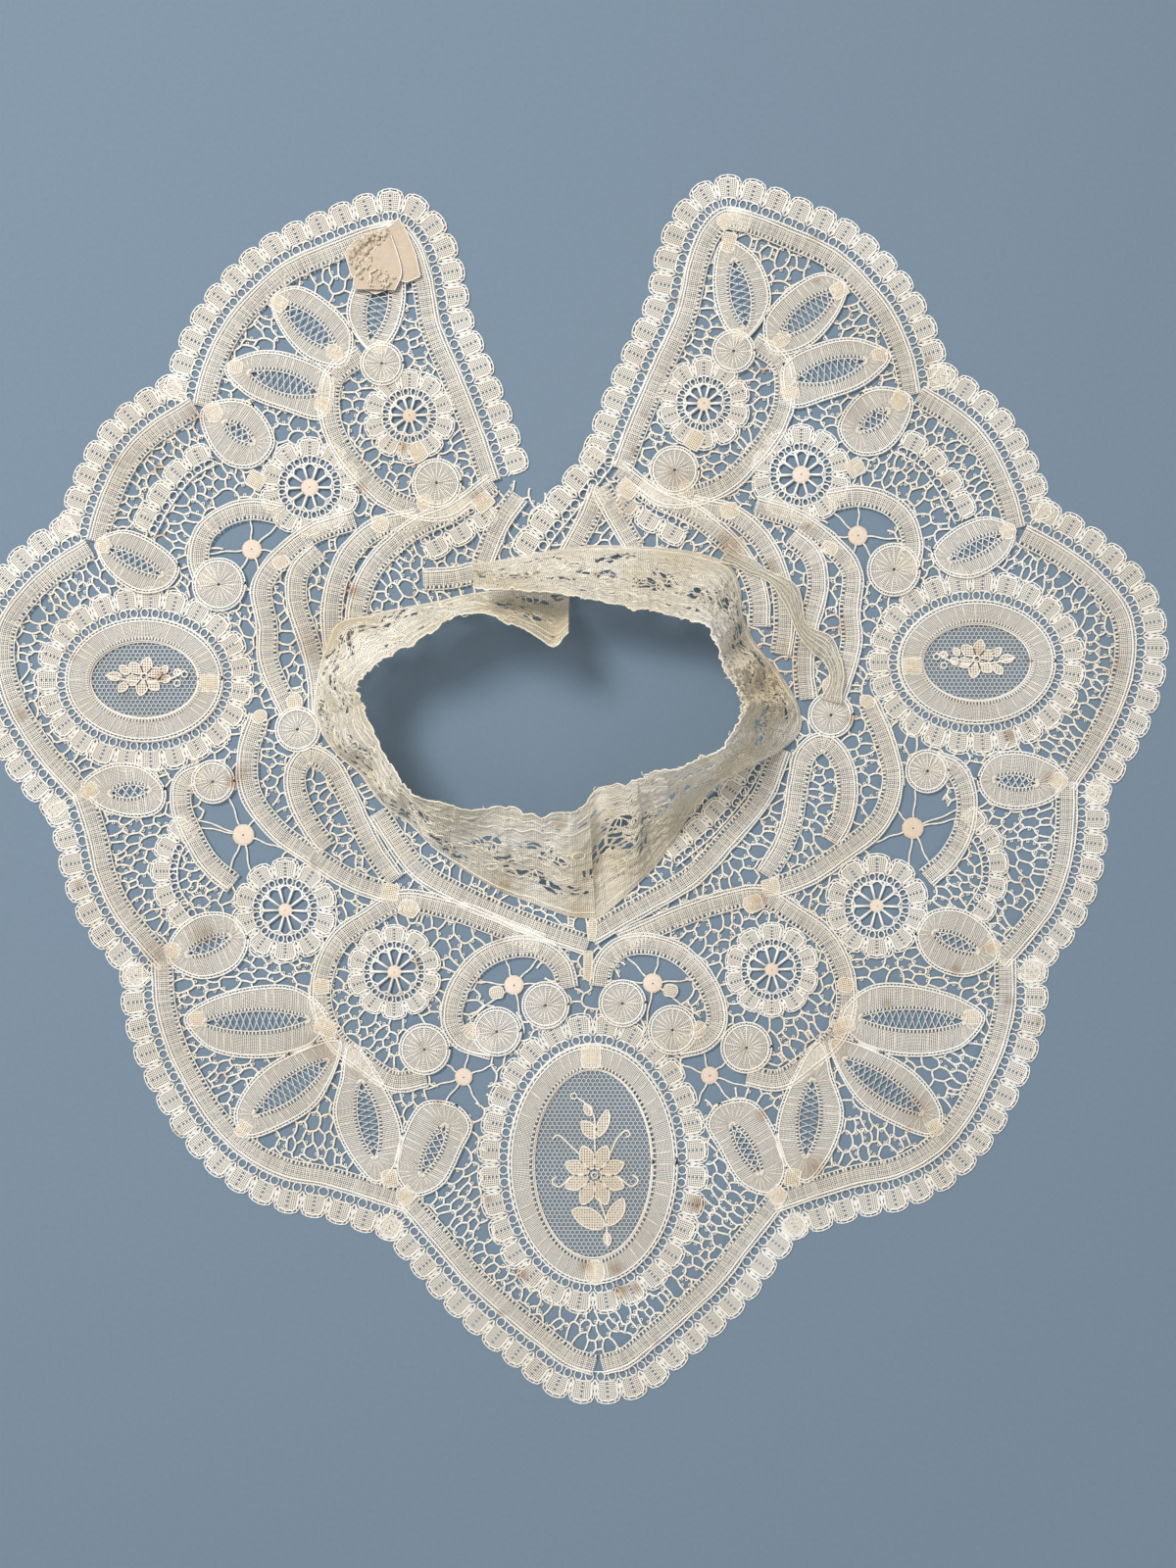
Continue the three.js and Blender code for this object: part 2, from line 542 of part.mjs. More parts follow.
// The bars between the tapes make uneven cells. Each cell is the ground nearer to its own knot than to
// the others.
function knot(i, j) {
  const x = (i + (j % 2 ? 0.5 : 0) + 0.62 * scatter(i, j, 1)) * BRIDE_CELL;
  const y = (j * 0.87 + 0.62 * scatter(i, j, 2)) * BRIDE_CELL;
  return new THREE.Vector2(x, y);
}

function cellOpening(i, j) {
  const centre = knot(i, j);
  const reach = BRIDE_CELL * 1.2;
  const corner = (x, y) => new THREE.Vector2(centre.x + x * reach, centre.y + y * reach);
  let cell = [corner(-1, -1), corner(1, -1), corner(1, 1), corner(-1, 1)];
  for (let di = -2; di <= 2; di += 1) {
    for (let dj = -2; dj <= 2; dj += 1) {
      if (di === 0 && dj === 0) continue;
      const away = knot(i + di, j + dj).sub(centre);
      const limit = away.length() / 2 - BRIDE_WIDTH / 2;
      away.normalize();
      cell = clipped(cell, centre, away, limit);
    }
  }
  return cell;
}

// The part of a convex outline that lies no further than a limit from a centre, along one direction.
function clipped(outline, centre, direction, limit) {
  const kept = [];
  for (let i = 0; i < outline.length; i += 1) {
    const from = outline[i];
    const to = outline[(i + 1) % outline.length];
    const a = from.clone().sub(centre).dot(direction) - limit;
    const b = to.clone().sub(centre).dot(direction) - limit;
    if (a <= 0) kept.push(from);
    if (a < 0 !== b < 0 && Math.abs(a - b) > 1e-9) kept.push(from.clone().lerp(to, a / (a - b)));
  }
  return kept;
}

// One outline from several runs of points, without points that fall together.
function outlineOf(...runs) {
  const outline = [];
  for (const point of runs.flat()) {
    if (outline.every((other) => other.distanceTo(point) > 0.8)) outline.push(point);
  }
  return outline;
}

const seamLine = (name, side) => SEAMS[name].map((pixel) => place(pixel, side));
const seamBack = (name, side) => seamLine(name, side).reverse();
const groundEdge = (name, side) => shifted(smooth(CONTOUR[name], side), side * (TAPE_WIDTH / 2 - 1.9));

// The outlines of the panels of ground on one half, out to just under the contour tape.
function groundPanels(side) {
  const edge = (name) => groundEdge(name, side);
  const seam = (name) => seamLine(name, side);
  const back = (name) => seamBack(name, side);
  const foot = (side > 0 ? BAND_RIGHT : BAND_LEFT).map(([x, y]) => onTable([x, y]));
  const neck = shifted(foot, side * 0.9);
  const backEnds = side > 0 ? [[583, 556], [583, 500]] : [[560, 590], [570, 503]];
  const backOfNeck = backEnds.map(onTable);
  const neckRun = side > 0 ? neck.slice(0, 19) : neck.slice(0, 18);
  return {
    back: [
      outlineOf(edge('v').slice(0, -2), edge('a').slice(1), back('backToYoke').slice(3)),
      outlineOf(edge('b'), back('backToSide'), back('backToYoke'), [place([800, 400], side)]),
    ],
    side: [
      outlineOf(edge('c'), back('sideToYoke').slice(3, 8), seam('backToSide')),
      outlineOf(edge('d'), back('sideToFront'), back('sideToYoke').slice(0, 4), [place([1050, 780], side)]),
    ],
    front: [outlineOf(edge('e'), back('frontToCentre'), back('frontToYoke'), seam('sideToFront'))],
    yoke: [outlineOf(neckRun, backOfNeck, seam('backToYoke'), seam('sideToYoke'), seam('frontToYoke'),
      seam('centreToYoke'))],
  };
}

// The middle panel, from the seam under the neck down to the front tip.
function middlePanel() {
  return outlineOf(groundEdge('f', 1), groundEdge('f', -1).reverse(), seamBack('frontToCentre', -1),
    seamLine('centreToYoke', -1), seamBack('centreToYoke', 1), seamLine('frontToCentre', 1));
}

function collar() {
  const group = new THREE.Group();
  const add = (name, geometry, colour) => {
    const material = new THREE.MeshStandardMaterial({ color: colour, roughness: 0.95, metalness: 0 });
    const mesh = new THREE.Mesh(geometry, material);
    mesh.name = name;
    group.add(mesh);
  };
  const addSolid = (name, solid, colour) => {
    const { vertProperties, triVerts } = solid.getMesh();
    const geometry = new THREE.BufferGeometry();
    geometry.setAttribute('position', new THREE.BufferAttribute(new Float32Array(vertProperties), 3));
    geometry.setIndex(new THREE.BufferAttribute(new Uint32Array(triVerts), 1));
    geometry.computeVertexNormals();
    add(name, geometry, colour);
  };

  // The tapes, each cut back from the ones already laid.
  const feet = [bandFoot(BAND_RIGHT), bandFoot(BAND_LEFT)];
  let taken = flatsAsSolid(feet, TAPE_LEVEL - 1, TAPE_LEVEL + 2);
  const tapes = layTapes();
  for (const piece of tapes) {
    const solid = flatsAsSolid(piece.flats, TAPE_LEVEL, TAPE_LEVEL + CLOTH).subtract(taken);
    addSolid(piece.name, largestBody(solid), piece.colour);
    taken = taken.add(flatsAsSolid(piece.flats, TAPE_LEVEL - 1, TAPE_LEVEL + CLOTH + 1, SEAM_GAP));
  }
  addSolid('ribbon_patch', slab(turned(PATCH.map(onTable)), PATCH_LEVEL, PATCH_LEVEL + CLOTH), CREAM);
  add('stand_band_right', standBand(BAND_RIGHT), ECRU);
  add('stand_band_left', standBand(BAND_LEFT), ECRU);

  // The scalloped edging and the braid and net of the medallions, each clear of its neighbours.
  let edged = null;
  const edges = [];
  const inner = TAPE_WIDTH / 2 - 1.1;
  const along = (line, side) => flat(scallopedStrip(line, side, inner, BRAID_DEPTH + 1.1));
  const edging = (name, side) => along(smooth(CONTOUR[name], side), side);
  const apex = (side) => along(smooth([...CONTOUR.v.slice(0, -1), ...CONTOUR.a.slice(1)], side), side);
  const lengths = [];
  for (const [sideName, side] of Object.entries(SIDES)) {
    lengths.push([`edging_back_${sideName}`, [apex(side), edging('b', side)]]);
    lengths.push([`edging_side_${sideName}`, ['c', 'd', 'e'].map((lobe) => edging(lobe, side))]);
  }
  const tip = outlineOf(smooth(CONTOUR.f, 1), smooth(CONTOUR.f, -1).reverse());
  lengths.push(['edging_tip', [along(tip, 1)]]);
  for (const [name, flats] of lengths) {
    let solid = flatsAsSolid(flats, GROUND_LEVEL, GROUND_LEVEL + CLOTH);
    if (edged) solid = solid.subtract(edged);
    addSolid(name, largestBody(solid), CREAM);
    edges.push(...flats.map(({ outline }) => outline));
    const around = flatsAsSolid(flats, GROUND_LEVEL - 1, GROUND_LEVEL + CLOTH + 1, SEAM_GAP);
    edged = edged ? edged.add(around) : around;
  }
  for (const [name, sideName, side] of [['side', 'right', 1], ['side', 'left', -1], ['front', 'front', 1]]) {
    const { centre, net, ring, braid, scallops } = MEDALLIONS[name];
    const middle = place(centre, side);
    const size = (pair, more = 0) => pair.map((half) => half * MM_PER_PIXEL + more);
    const rim = [];
    for (let k = 0; k < scallops; k += 1) {
      for (const [share, inset] of [[0, 2.2], [0.5, -0.3]]) {
        const angle = 2 * Math.PI * (k + share) / scallops;
        const [halfX, halfY] = size(braid, -inset);
        rim.push(new THREE.Vector2(middle.x + halfX * Math.cos(angle), middle.y + halfY * Math.sin(angle)));
      }
    }
    const seam = ring.map((half, i) => (half + net[i]) / 2);
    const opening = ellipse(middle, ...size(seam, SEAM_GAP), 16);
    addSolid(`medallion_braid_${sideName}`, slab(rim, GROUND_LEVEL, GROUND_LEVEL + CLOTH, [opening]), CREAM);
    const netTop = GROUND_LEVEL + CLOTH;
    const netSolid = slab(ellipse(middle, ...size(seam), 16), GROUND_LEVEL, netTop);
    addSolid(`medallion_net_${sideName}`, netSolid.add(flower(name, middle, side, netTop)), LINEN);
    edges.push(ellipse(middle, ...size(braid, 1), 20));
    const clear = ellipse(middle, ...size(braid, SEAM_GAP + 0.7), 20);
    edged = edged.add(slab(clear, GROUND_LEVEL - 1, GROUND_LEVEL + CLOTH + 1));
  }

  // The ground's gaps lie where no tape is, and clear of the edging and the medallions.
  const holes = gapsInGround(tapes.flatMap(({ flats }) => flats.map(({ outline }) => outline)), edges);
  for (const [sideName, side] of Object.entries(SIDES)) {
    const panels = groundPanels(side);
    for (const name of ['back', 'side', 'front', 'yoke']) addGround(`ground_${name}_${sideName}`, panels[name]);
  }
  addGround('ground_centre', [middlePanel()]);
  function addGround(name, outlines) {
    const whole = joined(outlines.map((outline) => slab(turned(outline), GROUND_LEVEL, GROUND_LEVEL + CLOTH)));
    addSolid(name, largestBody(whole.subtract(edged).subtract(holes)), LINEN);
    const around = outlines.map((outline) => grown(turned(outline), SEAM_GAP));
    const blocks = around.map((outline) => slab(outline, GROUND_LEVEL - 1, GROUND_LEVEL + CLOTH + 1));
    edged = edged.add(joined(blocks));
  }
  return group;
}

// The flower woven on a medallion's net: petals round the middle, with two leaves or buds along the net.
function flower(name, middle, side, level) {
  const front = name === 'front';
  const petals = front ? 8 : 6;
  const at = (along, across) => (front
    ? new THREE.Vector2(middle.x + across, middle.y - along - 2)
    : new THREE.Vector2(middle.x + side * along, middle.y + across));
  const star = [];
  for (let k = 0; k < 2 * petals; k += 1) {
    const angle = Math.PI * k / petals;
    const radius = k % 2 ? 9 : 4;
    star.push(at(radius * Math.cos(angle), radius * Math.sin(angle)));
  }
  const stem = [at(-19, 0), at(-4, 0.6), at(4, 0.6), at(19, 0), at(4, -0.6), at(-4, -0.6)];
  const leaf = (along, across) => [at(along - 4, 0), at(along, across), at(along + 3.5, across),
    at(along, across / 3)];
  const leaves = front ? [[-13, -5], [-13, 5], [15, -5], [15, 5]] : [[13, 5], [13, -5]];
  const parts = [star, stem, ...leaves.map(([along, across]) => leaf(along, across))];
  return joined(parts.map((outline) => slab(turned(outline), level - 0.4, level + FLOWER_RELIEF)));
}

// How near a point comes to a line.
function distanceTo(line, point) {
  let nearest = Infinity;
  const onLine = new THREE.Vector3();
  const target = new THREE.Vector3(point.x, point.y, 0);
  const spots = line.map((p) => new THREE.Vector3(p.x, p.y, 0));
  for (let i = 1; i < spots.length; i += 1) {
    new THREE.Line3(spots[i - 1], spots[i]).closestPointToPoint(target, true, onLine);
    nearest = Math.min(nearest, onLine.distanceTo(target));
  }
  return nearest;
}

// All the gaps that are wide enough to be cut: cells between bars, wheels, and the rosettes' middles.
// A cell is cut whole where most of it shows between the tapes, so it may run a little way under one.
function gapsInGround(tapeOutlines, edges) {
  const low = GROUND_LEVEL - 1;
  const high = GROUND_LEVEL + CLOTH + 1;
  const gaps = [];
  const kept = [...edges];
  for (const side of Object.values(SIDES)) {
    for (const { hub, ends } of Object.values(WHEELS)) {
      const [x, y, knob, reach] = hub;
      const centre = place([x, y], side);
      const [inner, outer] = [knob * MM_PER_PIXEL, reach * MM_PER_PIXEL];
      const angles = ends.map((end) => place(end, side).sub(centre).angle()).sort((a, b) => a - b);
      angles.forEach((from, k) => {
        const to = k + 1 < angles.length ? angles[k + 1] : angles[0] + 2 * Math.PI;
        const [half, middle] = [BRIDE_WIDTH / 2 / outer, (from + to) / 2];
        const near = Math.max(inner, BRIDE_WIDTH / 2 / Math.sin((to - from) / 2));
        const corner = (radius, angle) => new THREE.Vector2(
          centre.x + radius * Math.cos(angle),
          centre.y + radius * Math.sin(angle),
        );
        const far = [from + half, middle, to - half].map((angle) => corner(outer, angle));
        const gap = [corner(near, middle), ...far];
        if (to - from > 0.35) gaps.push(slab(turned(gap), low, high));
      });
      kept.push(ellipse(centre, outer + BRIDE_WIDTH, outer + BRIDE_WIDTH, 12));
    }
    for (const row of Object.values(ROSETTES)) {
      const { centre, hole } = rosette(row, side);
      gaps.push(slab(ellipse(centre, hole, hole, 8), low, high));
      kept.push(ellipse(centre, hole + BRIDE_WIDTH, hole + BRIDE_WIDTH, 12));
    }
  }
  const sidePanels = Object.values(SIDES).flatMap((side) => Object.values(groundPanels(side)).flat());
  const panels = [middlePanel(), ...sidePanels];
  const seams = Object.values(SIDES).flatMap((side) => Object.keys(SEAMS).map((name) => seamLine(name, side)));
  const rims = [...seams, ...[BAND_RIGHT, BAND_LEFT].map((rows) => rows.map(([x, y]) => onTable([x, y])))];
  const mayBeCut = (point) => panels.some((panel) => holds(panel, point))
    && !kept.some((outline) => holds(outline, point))
    && rims.every((line) => distanceTo(line, point) > PANEL_RIM);
  const shows = (point) => !tapeOutlines.some((outline) => holds(outline, point));
  const cells = [];
  const reachX = Math.ceil(230 / BRIDE_CELL);
  const reachY = Math.ceil(260 / BRIDE_CELL);
  for (let i = -reachX; i <= reachX; i += 1) {
    for (let j = -reachY; j <= reachY; j += 1) {
      const cell = turned(cellOpening(i, j));
      if (!mayBeCut(knot(i, j)) || !cell.every(mayBeCut)) continue;
      const inner = cell.map((corner) => corner.clone().lerp(knot(i, j), 0.35));
      const share = inner.filter(shows).length / inner.length;
      if (share < OPEN_SHARE || !shows(knot(i, j))) continue;
      cells.push({ cell, area: share * THREE.ShapeUtils.area(cell) });
    }
  }
  const largest = cells.sort((a, b) => b.area - a.area).slice(0, MOST_GAPS);
  return joined([...gaps, ...largest.map(({ cell }) => slab(cell, low, high))]);
}

export default collar();
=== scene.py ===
"""A tape lace collar from a historic costume, laid flat on a table and seen from straight above.

Woven tape is bent into lobes, scrolls, leaves and coils, joined by thin bars of thread, edged with a
scalloped braid, and filled with three net medallions. A sheer stand band leans in round the neck.
"""

import math

import bpy
import numpy as np
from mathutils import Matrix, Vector, geometry


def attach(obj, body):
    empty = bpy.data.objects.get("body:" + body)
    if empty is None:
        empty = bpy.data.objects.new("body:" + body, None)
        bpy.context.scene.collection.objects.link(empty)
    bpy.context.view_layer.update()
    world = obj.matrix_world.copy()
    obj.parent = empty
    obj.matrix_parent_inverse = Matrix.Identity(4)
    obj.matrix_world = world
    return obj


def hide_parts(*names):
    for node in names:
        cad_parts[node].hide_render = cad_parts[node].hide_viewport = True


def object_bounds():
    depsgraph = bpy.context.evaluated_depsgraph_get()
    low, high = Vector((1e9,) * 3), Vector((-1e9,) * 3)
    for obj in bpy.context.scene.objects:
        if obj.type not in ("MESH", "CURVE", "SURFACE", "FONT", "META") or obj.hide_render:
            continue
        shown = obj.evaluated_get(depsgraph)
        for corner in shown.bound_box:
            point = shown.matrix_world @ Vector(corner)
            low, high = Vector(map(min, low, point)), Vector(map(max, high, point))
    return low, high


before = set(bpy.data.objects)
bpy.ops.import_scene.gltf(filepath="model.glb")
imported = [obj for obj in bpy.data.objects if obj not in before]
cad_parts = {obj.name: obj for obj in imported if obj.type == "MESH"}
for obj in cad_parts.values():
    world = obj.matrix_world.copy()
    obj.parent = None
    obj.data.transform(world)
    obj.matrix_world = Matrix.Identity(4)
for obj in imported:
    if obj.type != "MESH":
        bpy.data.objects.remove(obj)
cad_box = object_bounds()

# The contour tape. A sheer woven linen tape, 7.7 mm wide, runs round every lobe. A cord and a row of
# pinholes edge its outer side, a comb of small slits its inner side, and bends are gathered.
SIDES = (("right", 1), ("left", -1))
MM_PER_STEP = 0.35  # places are [x, y] on a grid of this step, y running down
GRID_CENTRE = (600, 800)
ORIGIN_SHIFT = (8.418, 3.3)
MIDDLE_LINE = np.array([  # y, and x of the middle line there, on the grid
    [170, 573], [420, 568], [540, 566], [675, 572], [760, 578], [845, 590], [925, 593], [1060, 597],
    [1170, 602], [1400, 611],
])
LEFT_HALF_DROP = np.array([  # y, and how much lower the left half lies there, on the grid
    [170, 15], [413, 12], [547, 14], [675, 18], [845, 7], [1000, 2], [1420, 0],
])
LEFT_LOBE_FROM = 1000
LEFT_LOBE_NARROWING = 0.07
TAPE_WIDTH = 7.7
TAPE_LEVEL = 1.3
TAPE_STEP = 1.25
LADDER_OUTER = 3.7  # how far out the rails and the comb lie from the tape's middle, in mm
LADDER_INNER = 2.6
COMB_ROOT = -2.35
COMB_TIP = -3.7
LADDER_PITCH = 0.8
COMB_PITCH = 1.55
GATHER_PITCH = 2.6
CLOTH_LIFT = 0.34  # how far the cloth and the middles of its cords lie above the tape's level
CORD_RADIUS = 0.3
RAIL_RADIUS = CORD_RADIUS + 0.05
LADDER_RADIUS = 0.19
COMB_RADIUS = 0.2
TOOTH_RADII = np.array([0.5, 0.36])  # at a tooth's root and at its tip
PICK_RADIUS = 0.12
WARP_RADIUS = 0.11
WARP_OFFSETS = (1.5, 0.3, -1.0)
THREAD_SIDES = 3

CONTOUR = {  # the middle of the tape round the right half, from the centre back to the front tip
    "v": [[634, 480], [653, 430], [676, 376], [700, 322], [712, 270], [724, 240], [740, 224], [765, 229]],
    "a": [[740, 224], [765, 229], [800, 243], [851, 268], [897, 317], [920, 366], [928, 404]],
    "b": [[936, 404], [978, 432], [1000, 455], [1015, 482], [1027, 512], [1034, 540]],
    "c": [
        [1042, 546], [1080, 567], [1114, 593], [1140, 624], [1147, 655], [1142, 694], [1130, 727],
        [1111, 762], [1086, 801],
    ],
    "d": [[1087, 798], [1086, 845], [1080, 884], [1064, 924], [1040, 955], [1018, 981]],
    "e": [
        [1024, 978], [1024, 1022], [1014, 1065], [1000, 1098], [980, 1136], [952, 1168], [913, 1190],
        [870, 1199], [822, 1214], [788, 1226],
    ],
    "f": [[794, 1220], [758, 1265], [732, 1299], [700, 1331], [664, 1362], [636, 1384], [614, 1391]],
}


def on_table(places):
    """Places on the grid as points on the table, in millimetres."""
    places = np.asarray(places, float)
    x = (places[:, 0] - GRID_CENTRE[0]) * MM_PER_STEP + ORIGIN_SHIFT[0]
    y = (GRID_CENTRE[1] - places[:, 1]) * MM_PER_STEP + ORIGIN_SHIFT[1]
    return np.column_stack((x, y))


def placed(places, side):
    """The same places on the right half of the collar, or on its left half, which was laid a little lower."""
    places = np.asarray(places, float)
    if side > 0:
        return on_table(places)
    across = places[:, 0] - np.maximum(0, places[:, 0] - LEFT_LOBE_FROM) * LEFT_LOBE_NARROWING
    x = 2 * np.interp(places[:, 1], *MIDDLE_LINE.T) - across
    y = places[:, 1] + np.interp(places[:, 1], *LEFT_HALF_DROP.T)
    return on_table(np.column_stack((x, y)))


def walked(line):
    """How far along a line each of its points lies."""
    return np.concatenate(([0], np.cumsum(np.linalg.norm(np.diff(line, axis=0), axis=1))))


def length_of(line):
    """The length of a line, in millimetres."""
    return float(np.linalg.norm(np.diff(line, axis=0), axis=1).sum())


def points_at(places, walk, line):
    """The points of a line at some places along its walk."""
    return np.column_stack([np.interp(places, walk, column) for column in line.T])


def evenly(line, step):
    """The line as points a step apart."""
    walk = walked(line)
    count = max(2, round(walk[-1] / step))
    return points_at(np.linspace(0, walk[-1], count + 1), walk, line)


def smooth(corners, step, closed=False):
    """A smooth line through a few corners, as points a step apart."""
    corners = np.asarray(corners, float)
    if closed:
        ends = np.vstack((corners[-1:], corners, corners[:2]))
    else:
        ends = np.vstack((2 * corners[0] - corners[1], corners, 2 * corners[-1] - corners[-2]))
    gaps = np.linalg.norm(np.diff(ends, axis=0), axis=1) ** 0.5
    t = np.linspace(0, 1, 24, endpoint=False)[:, None]
    runs = []
    for k in range(1, len(ends) - 2):
        a, b, c, d = ends[k - 1:k + 3]
        before, here, after = gaps[k - 1:k + 2]
        leaving = ((b - a) / before - (c - a) / (before + here) + (c - b) / here) * here
        arriving = ((c - b) / here - (d - b) / (here + after) + (d - c) / after) * here
        bow = 3 * (c - b) - 2 * leaving - arriving
        runs.append(b + leaving * t + bow * t**2 + (2 * (b - c) + leaving + arriving) * t**3)
    return evenly(np.vstack([*runs, ends[-2:-1]]), step)


def directions(turns):
    """The directions at some angles, as rows of x and y."""
    return np.column_stack((np.cos(turns), np.sin(turns)))


def left_of(line, closed=False):
    """The direction to the left of a line at each of its points."""
    along = np.gradient(line[:, :2], axis=0)
    if closed:
        along[0] = along[-1] = line[1, :2] - line[-2, :2]
    along /= np.linalg.norm(along, axis=1, keepdims=True) + 1e-9
    return np.column_stack((-along[:, 1], along[:, 0]))


def bend_of(line):
    """How sharply a line bends to its left at each point, in 1/mm."""
    left = left_of(line)
    turn = np.unwrap(np.arctan2(-left[:, 0], left[:, 1]))
    walk = walked(line)
    bend = np.gradient(turn, walk + np.arange(len(walk)) * 1e-9)
    return np.convolve(np.pad(bend, 3, mode="edge"), np.full(7, 1 / 7), mode="valid")


def wander(count, spacing, reach, rng):
    """Slow random numbers, one for each of count places, up to reach either way."""
    knots = max(2, count // spacing + 2)
    return np.interp(np.linspace(0, knots - 1, count), np.arange(knots), rng.uniform(-reach, reach, knots))


def raised(line, height):
    """A flat line as points in space at a height."""
    return np.column_stack((line[:, :2], np.broadcast_to(height, len(line))))


def cords(lines, radius):
    """Closed threads along lines of as many points each, as (points, quads, triangles, map)."""
    lines = np.asarray(lines, float)
    if lines.ndim == 2:
        lines = lines[None]
    count, places = lines.shape[:2]
    along = np.gradient(lines, axis=1)
    along /= np.linalg.norm(along, axis=2, keepdims=True) + 1e-9
    across = np.stack((-along[..., 1], along[..., 0], np.zeros((count, places))), axis=2)
    length = np.linalg.norm(across, axis=2, keepdims=True)
    across = np.where(length > 1e-3, across / (length + 1e-9), [1.0, 0.0, 0.0])
    over = np.cross(along, across)
    turn = 2 * np.pi * (np.arange(THREAD_SIDES) + 0.25) / THREAD_SIDES
    radius = np.broadcast_to(radius, (count, places))[:, :, None, None]
    spread = across[:, :, None] * np.cos(turn)[:, None] + over[:, :, None] * np.sin(turn)[:, None]
    points = (lines[:, :, None] + radius * spread).reshape(-1, 3)
    start = np.arange(count)[:, None, None] * places * THREAD_SIDES
    row = start + np.arange(places - 1)[None, :, None] * THREAD_SIDES
    here = np.arange(THREAD_SIDES)[None, None, :]
    after = (here + 1) % THREAD_SIDES
    next_row = row + THREAD_SIDES
    quads = np.stack((row + here, row + after, next_row + after, next_row + here), axis=3)
    first = start[:, 0] + np.arange(THREAD_SIDES)[::-1]
    last = start[:, 0] + (places - 1) * THREAD_SIDES + np.arange(THREAD_SIDES)
    return points, quads.reshape(-1, 4), np.vstack((first, last)), points[:, :2]


def cloth(grid, weave, filled=None, closed=False):
    """A sheet of cloth through a grid of points, whose places on the weave are given. filled says which
    squares have cloth in them, and closed joins the last row to the first."""
    rows, columns = grid.shape[:2]
    last = rows if closed else rows - 1
    i = np.arange(last)[:, None]
    j = np.arange(columns - 1)[None, :]
    after = (i + 1) % rows
    here, there = i * columns + j, after * columns + j
    quads = np.stack((here, here + 1, there + 1, there), axis=2)
    quads = quads[filled] if filled is not None else quads.reshape(-1, 4)
    points = grid.reshape(-1, 3)
    facing = np.cross(points[quads[:, 1]] - points[quads[:, 0]], points[quads[:, 3]] - points[quads[:, 0]])
    if facing[:, 2].sum() < 0:
        quads = quads[:, ::-1]
    return points, quads, np.zeros((0, 3), int), np.asarray(weave, float).reshape(-1, 2)


def laid_tape(line, corded, seed, level=TAPE_LEVEL):
    """A length of tape along a line: (its cloth, its threads, its length).

    The ladder of pinholes is on its left if corded is 1, and on its right if it is -1.
    """
    rng = np.random.default_rng(seed)
    left = left_of(line) * corded
    bend = bend_of(line) * corded
    walk = walked(line)
    count = len(line)
    tight = np.clip(np.abs(bend) * 13, 0, 1)
    phase = 2 * np.pi * walk / GATHER_PITCH + wander(count, 4, 1.6, rng)
    ripple = wander(count, 9, 0.1, rng)

    def across(offset, lift=0.0):
        """The line moved towards the corded edge, lifted into the gathers on the inside of a bend."""
        room = np.where(bend * offset > 0, 0.85 / (np.abs(bend) + 1e-6), 1e3)
        reach = np.sign(offset) * np.minimum(abs(offset), room) + ripple * abs(offset) / 4
        inside = np.clip(np.sign(bend) * offset / (TAPE_WIDTH / 2), 0, 1)
        pleat = (0.62 * tight * inside + 0.1) * (0.5 - 0.5 * np.cos(phase))
        swell = 0.08 * np.sin(walk / 7 + offset)
        return raised(line + left * np.reshape(reach, (-1, 1)), level + CLOTH_LIFT + pleat + swell + lift)

    offsets = np.linspace(LADDER_INNER, COMB_ROOT, 6)
    grid = np.stack([across(offset) for offset in offsets], axis=1)
    weave = np.stack([np.column_stack((walk, np.full(count, offset))) for offset in offsets], axis=1)
    sheet = cloth(grid, weave)

    zigzag = evenly(np.column_stack((line, walk)), LADDER_PITCH)[:, 2]
    outside = (np.arange(len(zigzag)) % 2 == 1)[:, None]
    rails = [points_at(zigzag, walk, across(offset)) for offset in (LADDER_OUTER, LADDER_INNER)]
    lattice = np.where(outside, *rails)
    teeth = np.arange(0.8, walk[-1], COMB_PITCH)
    teeth = teeth + rng.uniform(-0.25, 0.25, len(teeth))
    comb = [across(COMB_ROOT + 0.15), across(COMB_TIP)]
    bars = np.stack([points_at(teeth, walk, rail) for rail in comb], axis=1)
    wefts = np.cumsum(rng.uniform(0.7, 1.9, int(walk[-1] / 1.3)))
    wefts = wefts[wefts < walk[-1]]
    selvedges = [across(offset, 0.05) for offset in (LADDER_INNER, 0.0, COMB_ROOT)]
    picks = np.stack([points_at(wefts, walk, rail) for rail in selvedges], axis=1)
    warps = [across(offset, 0.04)[::2] for offset in WARP_OFFSETS]
    inner_rail = across(LADDER_INNER, 0.08) + raised(left * wander(count, 3, 0.14, rng)[:, None], 0)
    outer_rail = across(LADDER_OUTER) + raised(left * wander(count, 3, 0.24, rng)[:, None], 0)
    threads = [
        (cords(picks, PICK_RADIUS), 1),
        (cords(np.stack(warps), WARP_RADIUS), 1),
        (cords(inner_rail, RAIL_RADIUS), 0),
        (cords(outer_rail, CORD_RADIUS), 0),
        (cords(across(COMB_TIP)[::2], COMB_RADIUS), 0),
        (cords(lattice, LADDER_RADIUS), 0),
        (cords(bars, TOOTH_RADII), 1),
    ]
    return sheet, threads, walk[-1]


def node(tree, kind, settings=None, links=None):
    """Adds a node with its settings, and links its inputs from other nodes' outputs."""
    made = tree.nodes.new(kind)
    for name, value in (settings or {}).items():
        if isinstance(name, str) and hasattr(made, name):
            setattr(made, name, value)
        else:
            made.inputs[name].default_value = value
    for name, output in (links or {}).items():
        tree.links.new(output, made.inputs[name])
    return made


def colour(code):
    """An sRGB hex colour as linear red, green, blue and alpha."""
    channels = [int(code[i:i + 2], 16) / 255 for i in (1, 3, 5)]
    linear = [c / 12.92 if c <= 0.04045 else ((c + 0.055) / 1.055) ** 2.4 for c in channels]
    return (*linear, 1.0)


